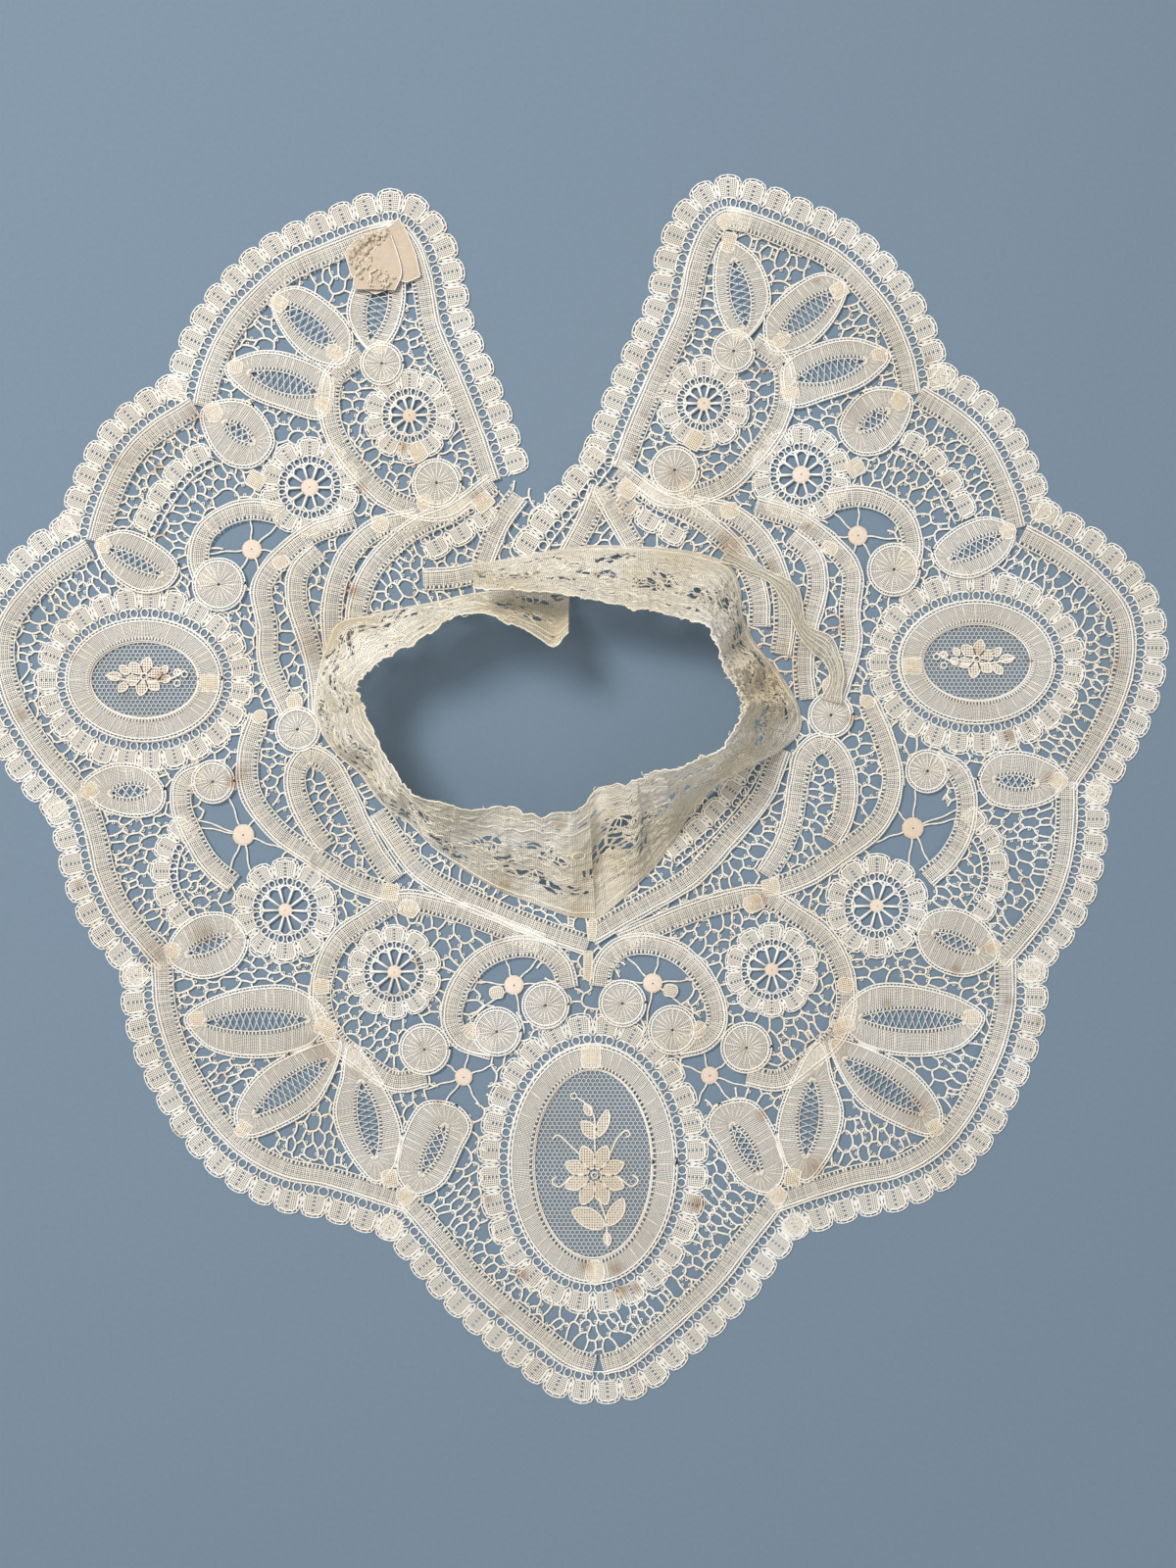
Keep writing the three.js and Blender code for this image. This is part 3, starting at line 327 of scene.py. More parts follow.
FLAT_GRAIN = (900.0, 0.25, 0.0002)  # specks a metre, strength of their relief, and its depth in metres
CRUSHED_GRAIN = (380.0, 0.6, 0.001)


def fibre(name, pale, deep, stained, roughness, weave=None, cover=0.5, sheen=0.25, openwork=0):
    """Plant fibre: matt, slightly uneven in colour, browned where the stain attribute says.

    weave is the thread spacing in mm across and along the cloth's map, and cover the share of it that
    a thread fills. Without a weave it is a cord, and every point of it is solid. openwork is the size in mm
    of the openings between thread bars where the open attribute says. Real threads lie 0.3 to 0.5 mm apart:
    every weave here is drawn coarser than that, so that it shows at this distance.
    """
    material = bpy.data.materials.new(name)
    material.use_nodes = True
    tree = material.node_tree
    tree.nodes.clear()
    place = node(tree, "ShaderNodeTexCoord").outputs["Object"]
    patchy = node(tree, "ShaderNodeTexNoise", {"Scale": 28.0, "Detail": 5.0}, {"Vector": place})
    uneven = node(
        tree, "ShaderNodeMapRange", {"From Min": 0.35, "From Max": 0.68}, {"Value": patchy.outputs["Fac"]}
    )
    base = node(
        tree, "ShaderNodeMix", {"data_type": "RGBA", 6: colour(pale), 7: colour(deep)}, {0: uneven.outputs[0]}
    )
    speck_scale, relief, relief_depth = CRUSHED_GRAIN if openwork else FLAT_GRAIN
    speck = node(tree, "ShaderNodeTexNoise", {"Scale": speck_scale, "Detail": 2.0}, {"Vector": place})
    stain = node(tree, "ShaderNodeAttribute", {"attribute_name": "stain"})
    browned = node(
        tree, "ShaderNodeMix", {"data_type": "RGBA", 7: colour(stained)},
        {0: stain.outputs["Fac"], 6: base.outputs[2]},
    )
    grain = node(
        tree, "ShaderNodeMapRange", {"To Min": 0.82, "To Max": 1.08}, {"Value": speck.outputs["Fac"]}
    )
    shade = node(
        tree, "ShaderNodeVectorMath", {"operation": "SCALE"},
        {0: browned.outputs[2], "Scale": grain.outputs[0]},
    )
    bump = node(
        tree, "ShaderNodeBump", {"Strength": relief, "Distance": relief_depth},
        {"Height": speck.outputs["Fac"]},
    )
    finish = node(
        tree, "ShaderNodeBsdfPrincipled",
        {"Roughness": roughness, "Sheen Weight": sheen, "Sheen Roughness": 0.6, "Specular IOR Level": 0.3},
        {"Base Color": shade.outputs[0], "Normal": bump.outputs[0]},
    )
    surface = finish.outputs[0]
    if weave:
        woven = node(tree, "ShaderNodeUVMap", {"uv_map": "weave"}).outputs[0]
        split = node(tree, "ShaderNodeSeparateXYZ", None, {0: woven})
        filled = []
        for axis, spacing in zip(("X", "Y"), weave):
            value = split.outputs[axis]
            for operation, settings in (
                ("MULTIPLY", {1: 1000 / spacing}), ("FRACT", {}), ("SUBTRACT", {1: 0.5}),
                ("ABSOLUTE", {}), ("LESS_THAN", {1: cover / 2}),
            ):
                step = node(tree, "ShaderNodeMath", {"operation": operation, **settings}, {0: value})
                value = step.outputs[0]
            filled.append(value)
        solid = node(tree, "ShaderNodeMath", {"operation": "MAXIMUM"}, dict(enumerate(filled))).outputs[0]
        if openwork:
            long_cells = (550 / openwork, 1150 / openwork, 1)
            drawn = node(tree, "ShaderNodeMapping", {"Scale": long_cells}, {"Vector": woven})
            cells = node(
                tree, "ShaderNodeTexVoronoi", {"feature": "DISTANCE_TO_EDGE", "Scale": 1.0},
                {"Vector": drawn.outputs[0]},
            ).outputs[0]
            opened = node(tree, "ShaderNodeAttribute", {"attribute_name": "open"}).outputs["Fac"]
            limit = node(tree, "ShaderNodeMath", {"operation": "SUBTRACT", 0: 1.12}, {1: opened}).outputs[0]
            bar = node(tree, "ShaderNodeMath", {"operation": "LESS_THAN"}, {0: cells, 1: limit}).outputs[0]
            solid = node(tree, "ShaderNodeMath", {"operation": "MULTIPLY"}, {0: solid, 1: bar}).outputs[0]
        clear = node(tree, "ShaderNodeBsdfTransparent")
        surface = node(
            tree, "ShaderNodeMixShader", None, {0: solid, 1: clear.outputs[0], 2: surface}
        ).outputs[0]
    node(tree, "ShaderNodeOutputMaterial", None, {"Surface": surface})
    return material


# Sheer linen tape: matt plain weave of about 20 threads a centimetre, drawn at 15. The card shows through.
tape_linen = fibre("woven_linen_tape", "#fbf2e3", "#e8dcc8", "#b0854f", 0.92, (0.68, 0.68), 0.31)
# The same linen where its threads lie bare, in the comb and along the folds: as pale, but solid.
linen_thread = fibre("bare_linen_thread", "#f6efe2", "#e6dccb", "#b08a5c", 0.9)
# Cotton gimp, twisted hard: a smoother, brighter cord that takes the light along every edge.
gimp_cotton = fibre("gimp_cotton_cord", "#fffdf6", "#fbf2e2", "#c39562", 0.8, sheen=0.35)

STAIN_REACH = 20
RUSTY_SPECKS = 90
STAINS = [  # x, y on the grid, radius in mm, strength
    (712, 1228, 3.2, 0.75), (633, 1316, 3, 0.8), (628, 1293, 3, 0.7), (597, 1290, 2.6, 0.6),
    (533, 1300, 2.4, 0.7), (935, 1128, 6, 0.4), (830, 1190, 4, 0.5), (210, 955, 5, 0.5),
    (745, 555, 6, 0.5), (245, 790, 4, 0.5), (825, 1140, 5, 0.5), (855, 640, 5, 0.4), (200, 425, 5, 0.35),
    (855, 1060, 6, 0.3), (330, 1070, 6, 0.35), (772, 700, 16, 0.45), (775, 918, 4, 0.4),
    (160, 975, 7, 0.35), (1135, 680, 5, 0.3), (870, 420, 7, 0.3), (690, 490, 5, 0.3), (640, 520, 5, 0.3),
    (400, 1010, 5, 0.35), (590, 930, 4, 0.35), (320, 660, 7, 0.35),
]
rng = np.random.default_rng(3)
for _ in range(RUSTY_SPECKS):  # anywhere on the collar
    STAINS.append((*rng.uniform((20, 180), (1170, 1410)), *rng.uniform((1.2, 0.3), (2.8, 0.75))))


def piece(name, parts, materials, nodes=()):
    """One mesh of parts in millimetres, each with the number of its material, riding on the collar."""
    parts = [part if isinstance(part[1], int) else (part, 0) for part in parts]
    points, corners, starts, finishes, maps = [], [], [], [], []
    base, used = 0, 0
    for (spots, quads, triangles, weave), finish in parts:
        points.append(spots)
        maps.append(weave)
        for faces in (quads, triangles):
            if len(faces):
                size = faces.shape[1]
                corners.append((faces + base).ravel())
                starts.append(used + np.arange(len(faces)) * size)
                finishes.append(np.full(len(faces), finish))
                used += faces.size
        base += len(spots)
    points, corners = np.vstack(points), np.concatenate(corners)
    mesh = bpy.data.meshes.new(name)
    mesh.vertices.add(len(points))
    mesh.vertices.foreach_set("co", (points / 1000).ravel())
    mesh.loops.add(len(corners))
    mesh.loops.foreach_set("vertex_index", corners.astype(np.int32))
    starts = np.concatenate(starts)
    mesh.polygons.add(len(starts))
    mesh.polygons.foreach_set("loop_start", starts.astype(np.int32))
    mesh.polygons.foreach_set("material_index", np.concatenate(finishes).astype(np.int32))
    mesh.polygons.foreach_set("use_smooth", np.ones(len(starts), bool))
    layer = mesh.uv_layers.new(name="weave")
    layer.data.foreach_set("uv", (np.vstack(maps)[corners] / 1000).astype(np.float32).ravel())
    stain = np.zeros(len(points))
    low, high = points[:, :2].min(axis=0) - STAIN_REACH, points[:, :2].max(axis=0) + STAIN_REACH
    for x, y, radius, strength in STAINS:
        spot = on_table([[x, y]])[0]
        if (spot > low).all() and (spot < high).all():
            away = np.linalg.norm(points[:, :2] - spot, axis=1)
            stain = np.maximum(stain, strength * np.clip(1.3 - away / radius, 0, 1))
    mesh.attributes.new("stain", "FLOAT", "POINT").data.foreach_set("value", stain.astype(np.float32))
    mesh.update(calc_edges=True)
    mesh.validate()
    for material in materials:
        mesh.materials.append(material)
    made = bpy.data.objects.new(name, mesh)
    bpy.context.scene.collection.objects.link(made)
    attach(made, "root")
    if nodes:
        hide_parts(*nodes)
    return made


def tape_piece(name, tapes, nodes=()):
    """Some lengths of tape: their cloth as one piece, with their threads as a piece beside it."""
    sheets = [sheet for sheet, threads, length in tapes]
    made = piece(f"{name}_cloth", sheets, [tape_linen], nodes)
    all_threads = [thread for sheet, threads, length in tapes for thread in threads]
    edges = piece(f"{name}_cords", all_threads, [gimp_cotton, linen_thread])


TAPE_COVER_HALF = TAPE_WIDTH / 2 - 0.6  # the ground runs in under the tape's edges
covered = []  # what hides the ground: ("line", line, half width) or ("outline", outline)
contour_lines = {}
for side_name, side in SIDES:
    for lobe, corners in CONTOUR.items():
        contour_lines[lobe, side] = smooth(placed(corners, side), TAPE_STEP)
        covered.append(("line", contour_lines[lobe, side], TAPE_COVER_HALF))

# The eyes and leaves. Tape is bent back on itself round a slit, an eye at each notch between the
# lobes and three leaves to each palmette. The slit is crossed with thread.
BACK_LOBES = "vab"
EYES = {
    "a": [
        [[876, 403], [904, 396], [930, 408], [922, 440], [900, 463], [872, 464], [854, 440]],
        [[881, 437], [900, 424]],
    ],
    "b": [
        [[950, 564], [974, 539], [1006, 528], [1034, 540], [1026, 568], [992, 590], [962, 584]],
        [[974, 570], [1016, 549]],
    ],
    "c": [
        [[996, 796], [1012, 771], [1048, 768], [1086, 790], [1076, 814], [1036, 826], [1008, 818]],
        [[1020, 796], [1050, 799]],
    ],
    "d": [
        [[933, 954], [948, 930], [982, 928], [1012, 952], [1018, 978], [984, 996], [948, 984]],
        [[958, 954], [990, 968]],
    ],
    "f": [
        [
            [732, 1126], [766, 1122], [788, 1148], [802, 1196], [786, 1218], [756, 1208], [732, 1170],
            [720, 1146],
        ],
        [[750, 1152], [772, 1190]],
    ],
}
LEAVES = {
    "a1": [
        [[738, 246], [727, 290], [738, 334], [757, 348], [775, 332], [786, 306], [770, 262]],
        [[750, 274], [760, 330]],
    ],
    "a2": [
        [[780, 326], [817, 288], [842, 280], [863, 292], [854, 322], [824, 355], [786, 362]],
        [[801, 340], [846, 303]],
    ],
    "a3": [
        [[798, 374], [840, 350], [876, 347], [908, 364], [886, 391], [845, 408], [806, 416]],
        [[818, 388], [876, 371]],
    ],
    "e1": [
        [
            [856, 1036], [886, 1006], [930, 1004], [984, 1020], [1004, 1037], [980, 1068], [924, 1077],
            [872, 1062],
        ],
        [[884, 1038], [976, 1041]],
    ],
    "e2": [
        [[846, 1058], [898, 1072], [938, 1098], [961, 1136], [952, 1158], [912, 1147], [872, 1120]],
        [[866, 1084], [934, 1131]],
    ],
    "e3": [
        [
            [836, 1060], [800, 1116], [791, 1160], [804, 1194], [822, 1206], [848, 1176], [860, 1135],
            [850, 1100],
        ],
        [[828, 1108], [822, 1172]],
    ],
}
LEAF_SLIT_HALF = 3.3
EYE_SLIT_HALF = 2.0
SLIT_REACH = 1.8
CROSSING_PITCH = 2.5
CROSSING_RADIUS = 0.3
RIM_STEP = 1.3
POINTS_PER_FOLD = 2.4
FOLD_HEIGHT = 0.45
CORD_TO_CLOTH = 1.15
CLOTH_TO_COMB = 1.3
RIDGE_HIGHLIGHT_RADII = np.array([0.14, 0.2, 0.12])  # thin bright cords on the pleat ridges, a painted highlight for light along the folds: radii along a fold, from the outer cord to the comb
RING_TOOTH_RADII = np.array([0.48, 0.3])


def gathered_ring(outer, inner, folds, height, seed, comb=True, level=TAPE_LEVEL):
    """Tape gathered into a ring between two closed lines of as many points: (cloth, threads, length)."""
    rng = np.random.default_rng(seed)
    outer, inner = outer[:-1], inner[:-1]
    count = len(outer)
    breadth = np.linalg.norm(outer - inner, axis=1, keepdims=True)
    inward = (inner - outer) / breadth
    around = np.arange(count) / count
    phase = 2 * np.pi * folds * around + wander(count, 3, 0.9, rng)
    walk = walked(outer)
    step_in = np.minimum(CORD_TO_CLOTH, breadth * 0.2)
    comb_in = np.minimum(CLOTH_TO_COMB, breadth * 0.22) if comb else breadth * 0

    def ring(share, lift=0.0):
        """The ring a share of the way in from the outer cord, 0, to the comb, 1."""
        inset = step_in + (breadth - step_in - comb_in) * share
        fold = height * (0.25 + 0.75 * max(share, 0)) * (0.5 - 0.5 * np.cos(phase))
        return np.column_stack((outer + inward * inset, level + CLOTH_LIFT + fold + lift))

    shares = np.linspace(0, 1, 5)
    grid = np.stack([ring(share) for share in shares], axis=1)
    weave = np.stack([np.column_stack((walk, share * breadth[:, 0])) for share in shares], axis=1)
    sheet = cloth(grid, weave, closed=True)
    outside = np.column_stack((outer + inward * 0.1, np.full(count, level + CLOTH_LIFT)))
    rail = ring(0, 0.08)

    def round_again(line):
        return np.vstack((line, line[:2]))

    closing = round_again(outside)
    lattice = np.where((np.arange(count + 2) % 2)[:, None], closing, round_again(rail))
    threads = [
        (cords(round_again(rail), RAIL_RADIUS), 0),
        (cords(closing, CORD_RADIUS), 0),
        (cords(lattice, LADDER_RADIUS), 0),
    ]
    # Thin bright cords along the pleat ridges: a painted highlight that stands in for light catching the tops
    # of the folds.
    ridges = np.linspace(0, count, int(folds), endpoint=False).astype(int)
    ridge_highlights = np.stack([ring(share, 0.06)[ridges] for share in (0, 0.5, 1)], axis=1)
    threads.append((cords(ridge_highlights, RIDGE_HIGHLIGHT_RADII), int(comb)))
    if comb:
        rim = np.column_stack((inner, np.full(count, level + 0.4)))
        bars = np.stack((ring(1), rim), axis=1)
        threads += [(cords(round_again(rim), COMB_RADIUS), 0), (cords(bars, RING_TOOTH_RADII), 1)]
    return sheet, threads, length_of(round_again(outer))


def looped(rim, slit, widest, side, seed):
    """An eye or a leaf: tape bent round a pointed slit that thread crosses in two zigzags."""
    outer = smooth(placed(rim, side), RIM_STEP, closed=True)
    a, b = placed(slit, side)
    along = (b - a) / np.linalg.norm(b - a)
    a, b = a - along * SLIT_REACH, b + along * SLIT_REACH
    length = np.linalg.norm(b - a)
    across = np.array([-along[1], along[0]])
    share = np.clip((outer - a) @ along / length, 0, 1)
    nearest = a + share[:, None] * (b - a)
    away = outer - nearest
    reach = np.linalg.norm(away, axis=1)
    half = np.minimum(widest * np.sin(np.pi * share) ** 0.75 + 0.25, reach * 0.5)
    covered.append(("outline", outer))
    inner = nearest + away * (half / reach)[:, None]
    sheet, threads, total = gathered_ring(outer, inner, len(outer) / POINTS_PER_FOLD, FOLD_HEIGHT, seed)
    stations = np.linspace(0.08, 0.92, max(4, round(length / CROSSING_PITCH)))
    sway = widest * np.sin(np.pi * stations) ** 0.75 + 0.2
    for turn in (1, -1):
        swing = sway * np.where(np.arange(len(stations)) % 2, turn, -turn)
        zigzag = a + (b - a) * stations[:, None] + across * swing[:, None]
        threads.append((cords(raised(zigzag, TAPE_LEVEL + 0.3), CROSSING_RADIUS), 0))
    return sheet, threads, total


front_tapes = []
for side_name, side in SIDES:
    back_tapes = []
    for n, lobe in enumerate(CONTOUR):
        tape = laid_tape(contour_lines[lobe, side], side, 100 + n)
        (back_tapes if lobe in BACK_LOBES else front_tapes).append(tape)
    for n, (eye, (rim, slit)) in enumerate(EYES.items()):
        tape = looped(rim, slit, EYE_SLIT_HALF, side, 120 + n)
        (back_tapes if eye in BACK_LOBES else front_tapes).append(tape)
    name = f"contour_tape_back_{side_name}"
    tape_piece(name, back_tapes, [name])
tape_piece("contour_tape_front", front_tapes, ["contour_tape_front"])

# The scrolls, palmettes, hooks and yoke tapes. The same tape is laid in curves inside each lobe,
# and its ends are wound up into flat coils with about twenty pleats each.
TAPES = {
    "scroll_a": [
        [768, 350], [796, 372], [800, 408], [790, 438], [768, 468], [740, 494], [708, 507], [676, 507],
        [655, 492],
    ],
    "scroll_b": [[844, 512], [876, 507], [906, 516], [924, 534], [930, 560], [922, 584]],
    "scroll_c": [
        [612, 1006], [616, 984], [632, 967], [656, 962], [686, 969], [710, 988], [727, 1016],
        [731, 1042], [720, 1059], [692, 1068],
    ],
    "scroll_e": [
        [634, 960], [658, 950], [690, 936], [730, 922], [776, 914], [812, 934], [840, 954], [858, 986],
        [863, 1022], [852, 1056], [826, 1080], [794, 1101], [762, 1096],
    ],
    "neck_back": [
        [630, 480], [671, 510], [702, 522], [726, 539], [748, 559], [764, 582], [774, 612], [774, 640],
    ],
    "yoke_back_inner": [[706, 517], [746, 526], [772, 547], [788, 572], [798, 604], [800, 640], [796, 668]],
    "yoke_back_outer": [[770, 517], [812, 531], [849, 559], [868, 584], [866, 624], [868, 656], [852, 712]],
    "yoke_back_middle": [[806, 548], [828, 568], [834, 596], [824, 641], [819, 676], [822, 714]],
    "yoke_front_outer": [
        [884, 715], [902, 758], [910, 798], [896, 838], [859, 869], [825, 892], [788, 906],
    ],
    "yoke_front_loop": [
        [780, 893], [798, 864], [808, 835], [814, 796], [822, 768], [840, 758], [858, 776], [864, 806],
        [858, 838], [846, 858],
    ],
    "neck_front": [[796, 764], [777, 813], [743, 854], [706, 893], [658, 922], [630, 938], [602, 954]],
    "side_hook": [[952, 776], [974, 786], [985, 812], [982, 846], [966, 876], [944, 896]],
}
NECK_FRONT_LEFT = [[386, 828], [404, 856], [430, 889], [474, 914], [514, 932], [553, 948], [600, 964]]
COIL_POINTS = 56
COIL_EYE = 0.55
COIL_PLEATS = 19
COIL_HEIGHT = 1.0
COIL_LEVEL = TAPE_LEVEL + 0.25
COILS = {  # x, y, radius on the grid
    "scroll_a": [(748, 360, 22), (688, 481, 25)],
    "scroll_b": [(911, 582, 27)],
    "scroll_c": [(635, 1023, 24), (686, 1050, 25)],
    "scroll_e": [(761, 1068, 26)],
    "yoke_back_outer": [(847, 730, 23)],
    "side_hook": [(945, 787, 22)],
}
TAPE_NODES = {  # node: the tapes in it, the leaves in it
    "scroll_c": (["scroll_c"], []),
    "scroll_b": (["scroll_b"], []),
    "palmette_back": (["scroll_a"], ["a1", "a2", "a3"]),
    "palmette_front": (["scroll_e"], ["e1", "e2", "e3"]),
    "side_hook": (["side_hook"], []),
    "yoke_tape_front": (["yoke_front_outer", "yoke_front_loop"], []),
    "yoke_tape_back": (["yoke_back_outer", "yoke_back_middle"], []),
    "neck_tape_front": (["neck_front"], []),
    "neck_tape_back": (["neck_back", "yoke_back_inner"], []),
}


def circle(centre, radius, count):
    """A closed ring of points round a centre."""
    return centre + radius * directions(np.linspace(0, 2 * np.pi, count + 1))


def coil(x, y, radius, side, seed):
    """A flat coil: its cloth, its threads and its length."""
    centre = placed([[x, y]], side)[0]
    radius *= MM_PER_STEP
    covered.append(("outline", circle(centre, radius, 24)))
    outer, inner = circle(centre, radius, COIL_POINTS), circle(centre, COIL_EYE, COIL_POINTS)
    return gathered_ring(outer, inner, COIL_PLEATS, COIL_HEIGHT, seed, comb=False, level=COIL_LEVEL)


tape_seed = 200  # one for each tape, so that no two are gathered alike
for side_name, side in SIDES:
    for name, (tapes, leaves) in TAPE_NODES.items():
        made = []
        for tape in tapes:
            corners = placed(TAPES[tape], side)
            if tape == "neck_front" and side < 0:
                corners = on_table(NECK_FRONT_LEFT)
            line = smooth(corners, TAPE_STEP)
            covered.append(("line", line, TAPE_COVER_HALF))
            convex = -np.sign(bend_of(line).sum()) or 1
            tape_seed += 1
            made.append(laid_tape(line, convex, tape_seed))
            for x, y, radius in COILS.get(tape, []):
                made.append(coil(x, y, radius, side, tape_seed + 50))
        for n, leaf in enumerate(leaves):
            made.append(looped(*LEAVES[leaf], LEAF_SLIT_HALF, side, tape_seed + 90 + n))
        tape_piece(f"{name}_{side_name}", made, [f"{name}_{side_name}"])

# The scalloped braid. It edges the collar and rings the medallions: a header cord, two round holes to
# each scallop, and a woven tab in a U of gimp, with a lattice border and a fan of threads between tabs.
BRAID_DEPTH = 11.5
SCALLOP_PITCH = 9.3
BRAID_LEVEL = 0.45
INNER_BRAID_DEPTH = 9.5
RING_RADIUS = 0.28
GIMP_RADIUS = 0.34
OUTER_RADIUS = 0.25
LINK_RADIUS = 0.23
FINE_RADIUS = 0.2
ROUND_HOLES = [(-2.33, 1.9, 1.7), (2.33, 1.9, 1.7)]  # across, out from the sewn edge, radius
TAB_SHAPE = np.array([  # out from the sewn edge, half width of the woven tab
    [3.5, 3.2], [4.4, 3.3], [4.9, 3.35], [5.8, 3.45], [6.3, 3.5], [7.2, 3.5], [7.7, 3.48], [8.8, 3.3],
    [9.5, 2.9], [10.2, 2.1], [10.6, 0.9],
])
TAB_COLUMNS = np.array([-1, -0.6, -0.13, 0.13, 0.6, 1])
PINHOLE_ROWS = (1, 3, 5, 7)
GIMP_U = np.array([
    [-4.5, 3.1], [-3.5, 4.6], [-3.62, 6.9], [-3.5, 8.9], [-2.6, 10.3], [0, 10.8], [2.6, 10.3], [3.5, 8.9],
    [3.62, 6.9], [3.5, 4.6], [4.5, 3.1],
])
OUTER_CORD = np.array([
    [-4.5, 4.9], [-4.5, 7.2], [-4.35, 9.3], [-3.6, 10.8], [-2.0, 11.5], [0, 11.75], [2.0, 11.5],
    [3.6, 10.8], [4.35, 9.3], [4.5, 7.2], [4.5, 4.9],
])
FAN_CORDS = [np.array([[x * 4.65, 3.0], [x * 4.1, 4.4], [x * 4.15, 6.6]]) for x in (-1, 1)]
BASE_CORD = np.array([[-3.4, 3.4], [-1.2, 3.6], [1.2, 3.6], [3.4, 3.4]])

# Braid cotton: woven tabs with a soft grey sheerness, of threads about 0.4 mm apart, drawn at 0.7.
tab_cotton = fibre("woven_braid_tab", "#f0e9dc", "#e0d6c5", "#a57d4e", 0.9, (0.7, 0.7), 0.44)
# The braid's cords: the whitest and smoothest thread, so the scallops show as bright outlines.
braid_cord = fibre("braid_cotton_cord", "#fffdf6", "#faf2e3", "#c39562", 0.8, sheen=0.35)
# Cotton darned over and over into a knob: pinker and duller than the cords.
knob_cotton = fibre("darned_cotton_knob", "#ecdccb", "#dcc7b0", "#b0834f", 0.9)


def scallops(line, out, count, depth, seed, closed=False, level=BRAID_LEVEL):
    """Braid along a line, its scallops on the left if out is 1: (tab cloth, threads)."""
    rng = np.random.default_rng(seed)
    away = left_of(line, closed) * out
    middle = line + away * depth * 0.6
    walk = walked(middle)
    walk /= walk[-1]
    pitch, rise = SCALLOP_PITCH, depth / BRAID_DEPTH
    centres = (np.arange(count) + 0.5) / count
    cup = rng.uniform(0.0, 0.35, count)

    def mapped(shape, lift=0.0):
        """A shape in one scallop's own millimetres, on every scallop: (count, points, 3)."""
        shape = np.asarray(shape, float)
        share = centres[:, None] + shape[None, :, 0] / pitch / count
        if closed:
            share = share % 1.0
        share = np.clip(share, 0, 1)
        spot = np.stack([np.interp(share, walk, line[:, i]) for i in (0, 1)], axis=2)
        outward = np.stack([np.interp(share, walk, away[:, i]) for i in (0, 1)], axis=2)
        outward /= np.linalg.norm(outward, axis=2, keepdims=True) + 1e-9
        height = np.broadcast_to(shape[None, :, 1], share.shape)
        flat = spot + outward * height[..., None] * rise
        dome = cup[:, None] * np.cos(np.pi * shape[None, :, 0] / pitch) * np.clip(height / 8, 0, 1)
        return np.concatenate((flat, (level + lift + dome)[..., None]), axis=2)

    threads = [cords(raised(line + away * 0.15, level + 0.1)[::2], RING_RADIUS)]
    turn = np.linspace(0, 2 * np.pi, 9)
    for x, y, radius in ROUND_HOLES:
        threads.append(cords(mapped((x, y) + radius * directions(turn)), RING_RADIUS))
    threads.append(cords(mapped(BASE_CORD), FINE_RADIUS))
    threads.append(cords(mapped(GIMP_U, 0.12), GIMP_RADIUS))
    threads.append(cords(mapped(OUTER_CORD), OUTER_RADIUS))
    for fan in FAN_CORDS:
        threads.append(cords(mapped(fan), FINE_RADIUS))
    for link in zip(GIMP_U[1:-1], OUTER_CORD[1:-1]):
        threads.append(cords(mapped(link), LINK_RADIUS))
    grid = np.array([[share * half, y] for y, half in TAB_SHAPE for share in TAB_COLUMNS])
    rows, columns = len(TAB_SHAPE), len(TAB_COLUMNS)
    filled = np.ones((rows - 1, columns - 1), bool)
    filled[list(PINHOLE_ROWS), 2] = False
    tabs = mapped(grid, 0.05)
    tabs[:, :, 2] += 0.12 * np.abs(np.tile(TAB_COLUMNS, rows)) * rng.uniform(0, 2, (count, 1))
    faces = cloth(tabs[0].reshape(rows, columns, 3), grid, filled)[1]
    quads = (faces[None] + np.arange(count)[:, None, None] * len(grid)).reshape(-1, 4)
    weave = np.tile(grid, (count, 1))
    return (tabs.reshape(-1, 3), quads, np.zeros((0, 3), int), weave), threads


def braid_piece(name, braids, nodes=()):
    """Some lengths of braid: their tabs as one piece, with their threads as a piece beside it."""
    tabs = [part[0] for part, length in braids]
    made = piece(f"{name}_tabs", tabs, [tab_cotton], nodes)
    threads = [thread for part, length in braids for thread in part[1]]
    edges = piece(f"{name}_cords", threads, [braid_cord, knob_cotton])


def edging(line, side, seed):
    """The outer braid along a contour tape, sewn just inside the tape's outer edge."""
    sewn = line + left_of(line) * side * (TAPE_WIDTH / 2)
    tips = sewn + left_of(sewn) * side * BRAID_DEPTH * 0.8
    count = max(2, round(length_of(tips) / SCALLOP_PITCH))
    return scallops(sewn, side, count, BRAID_DEPTH, seed), length_of(sewn)


for side_name, side in SIDES:
    apex = smooth(placed(CONTOUR["v"][:-1] + CONTOUR["a"][1:], side), TAPE_STEP)
    runs = {
        "edging_back": [apex, contour_lines["b", side]],
        "edging_side": [contour_lines[lobe, side] for lobe in "cde"],
    }
    for name, lines in runs.items():
        braids = [edging(line, side, 300 + n) for n, line in enumerate(lines)]
        braid_piece(f"{name}_{side_name}", braids, [f"{name}_{side_name}"])
tip_corners = np.vstack((placed(CONTOUR["f"][:-1], 1), placed(CONTOUR["f"][-2::-1], -1)))
braid_piece("edging_tip", [edging(smooth(tip_corners, TAPE_STEP), 1, 320)], ["edging_tip"])

# The inner braids. Short lengths of the same braid lie between the tapes, beside the neck and inside
# the second and fourth lobes.
INNER_BRAIDS = {
    "b": [[912, 462], [934, 474], [956, 502], [974, 536]],
    "d": [[972, 838], [996, 866], [1000, 898], [982, 930]],
    "neck_back": [[706, 537], [668, 516], [638, 494]],
    "neck_front": [[690, 884], [728, 852], [760, 814], [780, 780]],
}


